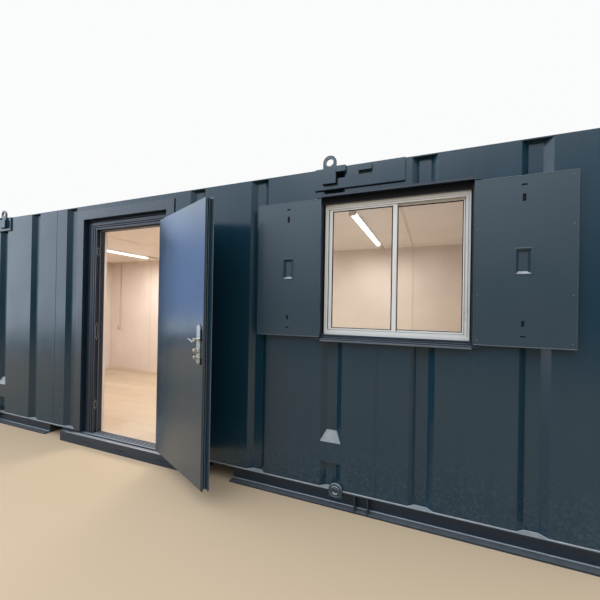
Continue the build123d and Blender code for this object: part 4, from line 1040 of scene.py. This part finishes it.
# Black strips beside the inner plate are painted shadow.
plate_shadow_x = SPINDLE[0] - 0.0335
for z0, z1 in ((1.179, 1.258), (1.012, 1.056)):
    shade_shells.append(strip(upright_line(plate_shadow_x, front_y + LEAF_IN, z0, z1), 0.010, 0.006, -OUT))
piece("handle_turn_knobs", [opened(shell) for shell in knobs], satin_nickel, "door", 60.0)
piece("handle_plate_screws", [opened(shell) for shell in screw_shells], zinc_plate, "door")
piece("handle_painted_shades", [opened(shell) for shell in shade_shells], rubber, "door")

# %% [markdown]
# ## Hinges
# Each hinge pin ends in a round cap, and its arm is welded to the frame face.

# %% Hinge caps and welds
CAP = [(0.0088, -0.0005), (0.0088, 0.0024), (0.0066, 0.0040), (0.0030, 0.0047)]
HINGE_HALF, ARM_X, ARM_END = 0.055, 0.4455, 0.002
caps = []
for z in (0.385, 1.165, 1.945):
    caps.append(turned(CAP, (PINS[0], PINS[1], z + HINGE_HALF), UP, 16))
    caps.append(turned(CAP, (PINS[0], PINS[1], z - HINGE_HALF), -UP, 16))
    weld_line = upright_line(ARM_X, front_y + FACE_DEPTH, z - HINGE_HALF, z - ARM_END)
    caps.append(carry(weld_line, half_round(0.005, 0.003, 5), OUT))
piece("hinge_caps", caps, trim_paint)

# %% [markdown]
# ## Lifting gear
# The lug and its pad are welded to a cover plate, and black strips below them are painted shadow. The eye at
# the rail has a turned boss round its hole. All of it is made once and mirrored to the four lifting points.

# %% Four lifting points
LUG_X, LUG_HALF, EYE_X, EYE_Z = 2.010, 0.049, 2.090, 0.136
COVER_FACE, LUG_FACE, EYE_FACE = front_y - 0.012, front_y - 0.026, front_y - 0.025
LUG_LEFT, LUG_RIGHT = LUG_X - LUG_HALF, LUG_X + LUG_HALF
COVER_START, COVER_STOP = LUG_X - 0.113, LUG_X + 0.518
PAD_TOP, PAD_SHADOW_TOP, COVER_WELD_END, JOINT_INSET = 0.092, 0.094, 0.008, 0.002
lug_low, lug_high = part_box("lifting_lugs")
cover_low, cover_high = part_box("lug_covers")


def circle_path(x, y, z, radius, steps=32):
    """Points on an upright circle that faces the front: x + r cos t and z + r sin t."""
    t = np.arange(steps) * 2.0 * np.pi / steps
    return np.stack([x + radius * np.cos(t), np.full(steps, y), z + radius * np.sin(t)], axis=1)


def at_four(shells):
    """The same shells at the four lifting points: as drawn, mirrored in x, and both turned to the rear."""
    pair = shells + [other_hand(shell) for shell in shells]
    return pair + [half_turn(shell) for shell in pair]


# Black strips under the cover plate and under the lug's pad are painted shadow.
COVER_SHADOW = rounded_outline(-0.0055, 0.0010, -0.0060, 0.0055, 0.002, 3)
LUG_SHADOW = rounded_outline(-0.0075, 0.0005, -0.0005, 0.0120, 0.003, 3)
foot_path = wall_line(
    COVER_START + JOINT_INSET, COVER_STOP - JOINT_INSET, (front_y + COVER_FACE) / 2, cover_low.z
)
lug_path = wall_line(LUG_LEFT, LUG_RIGHT, COVER_FACE, lug_low.z + 0.005)
lug_path.append((LUG_RIGHT, COVER_FACE, lug_low.z + PAD_SHADOW_TOP))
shadow_strips = [carry(foot_path, COVER_SHADOW, OUT), carry(lug_path, LUG_SHADOW, OUT)]
piece("lifting_shadow_strips", at_four(shadow_strips), rubber)

weld_lines = [
    upright_line(LUG_LEFT, COVER_FACE, lug_low.z, wall_top),
    upright_line(COVER_START, front_y, cover_low.z, cover_high.z - COVER_WELD_END),
    upright_line(COVER_STOP, front_y, cover_low.z, cover_high.z - COVER_WELD_END),
    wall_line(LUG_LEFT + JOINT_INSET, LUG_RIGHT - JOINT_INSET, LUG_FACE, lug_low.z + PAD_TOP),
]
BEAD = half_round(0.007, 0.0042)
piece("lifting_welds", at_four([carry(line, BEAD, OUT) for line in weld_lines]), wall_paint)

THIN_RING = half_round(0.005, 0.0020, 5)
boss = [
    carry(circle_path(EYE_X, EYE_FACE, EYE_Z, 0.0275), half_round(0.013, 0.0045, 7), OUT, loop=True),
    carry(circle_path(EYE_X, EYE_FACE, EYE_Z, 0.0440), THIN_RING, OUT, loop=True),
]
piece("lower_eye_bosses", at_four(boss), shutter_paint)
eye_rim = carry(circle_path(LUG_X, LUG_FACE, lug_high.z - LUG_HALF, 0.0305), THIN_RING, OUT, loop=True)
# The rim round the lug's eye is painted lighter, a painted highlight.
piece("lifting_eye_rims", at_four([eye_rim]), highlight_edge_paint)

# %% [markdown]
# ## Shutters
# Each shutter is a folded steel tray. Its hem shows as a fine raised line round the face and a broader one
# round the back, the pull pocket has a rolled rim, small screws hold the hinge and lock plates, and dark
# fills in the bolt slots are painted shade. Two functions make all of that from the box of the shutter's
# node.

# %% Shutter hems, pocket rims, screws and bolt slots
HEM, BACK_HEM = half_round(0.005, 0.0014, 5), half_round(0.012, 0.0025, 5)
FACE_BACK, HEM_INSET, BACK_INSET, POCKET_X, POCKET_Z = 0.003, 0.0035, 0.018, 0.041, 0.0755
BOLT_SLOTS = ((0.055, 0.028, 0.010), (0.130, 0.018, 0.044), (0.861, 0.016, 0.034), (0.936, 0.026, 0.010))
SLOT_FLOOR, SLOT_GAP, SCREW_X, SCREW_Z, SCREW_MIDDLE = 0.005, 0.0008, 0.022, 0.030, 0.2


def shutter_shells(low, high):
    """Hems, a pocket rim and screws for the shutter in this box."""
    face, x, z = low.y + FACE_BACK, (low.x + high.x) / 2, (low.z + high.z) / 2
    rim = rectangle_path(x - POCKET_X, x + POCKET_X, z - POCKET_Z, z + POCKET_Z, low.y)
    shells = [carry(path, HEM, OUT, loop=True) for path in (inset_path(low, high, HEM_INSET, face), rim)]
    shells.append(carry(inset_path(low, high, BACK_INSET, high.y)[::-1], BACK_HEM, -OUT, loop=True))
    for screw_x in (low.x + SCREW_X, high.x - SCREW_X):
        for screw_z in (low.z + SCREW_Z, z - SCREW_MIDDLE, z + SCREW_MIDDLE, high.z - SCREW_Z):
            shells.append(turned(SCREW, (screw_x, face, screw_z), OUT, 10))
    return shells


def bolt_slot_shade_shells(low, high):
    """Painted shade for the bolt slots: a dark fill in each, given by its distance below the top, its width
    and its height.
    """
    floor_y, x, shells = low.y + FACE_BACK + SLOT_FLOOR, (low.x + high.x) / 2, []
    for down, width, height in BOLT_SLOTS:
        z0, z1 = high.z - down - height / 2 + SLOT_GAP, high.z - down + height / 2 - SLOT_GAP
        shells.append(strip(upright_line(x, floor_y, z0, z1), width - 2 * SLOT_GAP, 0.0020, OUT))
    return shells


for name, body in (("shutter_left", "left_shutter"), ("shutter_right", "right_shutter")):
    piece(f"{name}_hem", shutter_shells(*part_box(name)), shutter_paint, body)
    piece(f"{name}_bolt_slot_shades", bolt_slot_shade_shells(*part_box(name)), rubber, body)

# %% [markdown]
# ## Inside the room
# The cream boards meet under narrow cover strips, a cove closes the corner with the ceiling, and a cable
# trunking runs from each light to the rear wall. The skirting has a rounded top bead that stops at the door.

# %% Board joints, cove and skirting bead
LINING = 0.140
ROOM_X, ROOM_Y = half_length - LINING, -front_y - LINING
ROOM_TOP, ROOM_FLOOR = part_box("ceiling")[0].z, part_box("floor")[1].z
SKIRTING_HIGH, BOARD, SIDE_JOINT, BEAD_INSET = 0.060, 1.22, 0.61, 0.006
JOINT_WIDE, JOINT_PROUD = 0.026, 0.0025
DOOR_LEFT, DOOR_RIGHT = -0.545, 0.455
skirting_top = ROOM_FLOOR + SKIRTING_HIGH


def level_rectangle(half_x, half_y, z):
    """The four corners of a level rectangle about the middle of the cabin."""
    return np.array([(-half_x, -half_y, z), (half_x, -half_y, z), (half_x, half_y, z), (-half_x, half_y, z)])


joint_lines = []
for x in (-2 * BOARD, -BOARD, 0.0, BOARD, 2 * BOARD):
    joint_lines.append((upright_line(x, ROOM_Y, skirting_top, ROOM_TOP), OUT))
    joint_lines.append(([(x, -ROOM_Y, ROOM_TOP), (x, ROOM_Y, ROOM_TOP)], -UP))
for x in (-2 * BOARD, -BOARD, BOARD):
    joint_lines.append((upright_line(x, -ROOM_Y, skirting_top, ROOM_TOP), -OUT))
for x, normal in ((-ROOM_X, INWARDS), (ROOM_X, -INWARDS)):
    for y in (-SIDE_JOINT, SIDE_JOINT):
        joint_lines.append((upright_line(x, y, skirting_top, ROOM_TOP), normal))
joints = [strip(line, JOINT_WIDE, JOINT_PROUD, normal) for line, normal in joint_lines]
piece("board_joints", joints, skirting_paint)

COVE = [
    (-0.0005, -0.0005), (0.018, -0.0005), (0.015, 0.004), (0.008, 0.009), (0.004, 0.015), (-0.0005, 0.018),
]
cove = carry(level_rectangle(ROOM_X, ROOM_Y, ROOM_TOP)[::-1], COVE, -UP, loop=True)
piece("ceiling_cove", [cove], skirting_paint)

x, y = ROOM_X - BEAD_INSET, ROOM_Y - BEAD_INSET
corners = ((DOOR_LEFT, -y), (-x, -y), (-x, y), (x, y), (x, -y), (DOOR_RIGHT, -y))
bead = carry([(*corner, skirting_top) for corner in corners], half_round(0.012, 0.005), UP)
piece("skirting_bead", [bead], skirting_paint)

# %% Light end caps, trunking, saddles and socket face
END_CAP = rounded_outline(-0.032, 0.032, -0.0005, 0.054, 0.006, 3)
TRUNKING = rounded_outline(-0.015, 0.015, -0.0005, 0.016, 0.002, 2)
CAP_FRONT, CAP_REAR, CAP_LONG = -0.757, 0.745, 0.012
fittings = []
for x in (-FITTING_SPACING, 0.0, FITTING_SPACING):
    for y in (CAP_FRONT, CAP_REAR):
        fittings.append(carry([(x, y, ROOM_TOP), (x, y + CAP_LONG, ROOM_TOP)], END_CAP, -UP))
    fittings.append(carry([(x, CAP_REAR + CAP_LONG, ROOM_TOP), (x, ROOM_Y, ROOM_TOP)], TRUNKING, -UP))
box_low, box_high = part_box("socket_conduit")
SOCKET_HALF, SOCKET_PROUD, ROCKER_SIDE, SADDLE = 0.043, 0.004, 0.02, 0.006
SOCKET_FACE = rounded_outline(-SOCKET_HALF, SOCKET_HALF, -0.0005, SOCKET_PROUD, 0.0015, 3)
ROCKER = rounded_outline(-0.008, 0.008, -0.0005, 0.0025, 0.001, 3)
conduit_x, socket_z = (box_low.x + box_high.x) / 2, box_low.z + 0.045
face_line = upright_line(conduit_x, box_low.y, socket_z - SOCKET_HALF, socket_z + SOCKET_HALF)
fittings.append(carry(face_line, SOCKET_FACE, OUT))
for x in (conduit_x - ROCKER_SIDE, conduit_x + ROCKER_SIDE):
    rocker_line = upright_line(x, box_low.y - SOCKET_PROUD, socket_z + 0.010, socket_z + 0.030)
    fittings.append(carry(rocker_line, ROCKER, OUT))
for z in (1.15, 1.55, 1.95, 2.25):
    fittings += strips([
        (upright_line(conduit_x, ROOM_Y - 0.016, z - SADDLE, z + SADDLE), 0.029, 0.002),
        (wall_line(conduit_x - 0.020, conduit_x + 0.020, ROOM_Y, z), 0.012, 0.002),
    ], OUT)
piece("room_fittings", fittings, white_plastic)

# %% [markdown]
# ## Base rails
# The base rail is a channel, and a pale line runs along the corner between its web and its foot: a bead
# carried along each length of rail, painted lighter as a painted highlight.

# %% Beads in the corners of the base rails
RAIL_FOOT, RAIL_CORNER = 0.012, front_y + 0.050
fork_out, rail_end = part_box("fork_pocket_heads")[1].x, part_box("base_rail_front")[1].x
bead = carry(wall_line(fork_out, rail_end, RAIL_CORNER, RAIL_FOOT), half_round(0.011, 0.006), UP)
piece("rail_corner_beads", at_four([bead]), highlight_edge_paint)

# %% [markdown]
# ## Roof and end walls
# The roof sheet is screwed down along each purlin, and a bead of sealant closes it against the rim. The end
# walls have the same foot and post welds as the long walls.

# %% Roof screws and roof sealant
RIM_WIDTH, VALLEY_DEEP, VALLEY_PITCH = 0.090, 0.024, 0.205
valley_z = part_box("roof")[1].z - VALLEY_DEEP
WASHER = [(0.0100, -0.0005), (0.0100, 0.0014), (0.0062, 0.0018), (0.0058, 0.0055), (0.0030, 0.0062)]
screw = turned(WASHER, (0.0, 0.0, valley_z), UP, 6)
valley_x = [(np.floor(x / VALLEY_PITCH) + 0.5) * VALLEY_PITCH for x in np.linspace(-3.4, 3.4, 9)]
screws = copies(screw, [(x, y, 0.0) for x in valley_x for y in np.linspace(-1.2, 1.2, 7)])
piece("roof_screws", screws, zinc_plate)
edge_path = level_rectangle(half_length - RIM_WIDTH, -front_y - RIM_WIDTH, valley_z)
piece("roof_sealant", [carry(edge_path, half_round(0.016, 0.005), UP, loop=True)], rubber)

# %% Welds on the end walls
END_RIBS = [-0.915, -0.305, 0.305, 0.915]
end_post = -front_y - POST_WIDTH


def to_end(shell, side):
    """Carry a shell from the front wall's plane to an end wall: (x, y) becomes side * (-y, x), moved out."""
    points = shell[0] + np.array([0.0, -half_length - front_y, 0.0])
    return np.stack([-side * points[:, 1], side * points[:, 0], points[:, 2]], axis=1), shell[1]


end_shells = [carry(along_ribs(-end_post, end_post, END_RIBS, rail_top), FOOT_WELD, UP)]
for x in (-end_post, end_post):
    end_shells.append(carry(upright_line(x, front_y, rail_top, wall_top), SEAM_WELD, OUT))
piece("end_welds", [to_end(shell, side) for side in (-1.0, 1.0) for shell in end_shells], wall_paint)
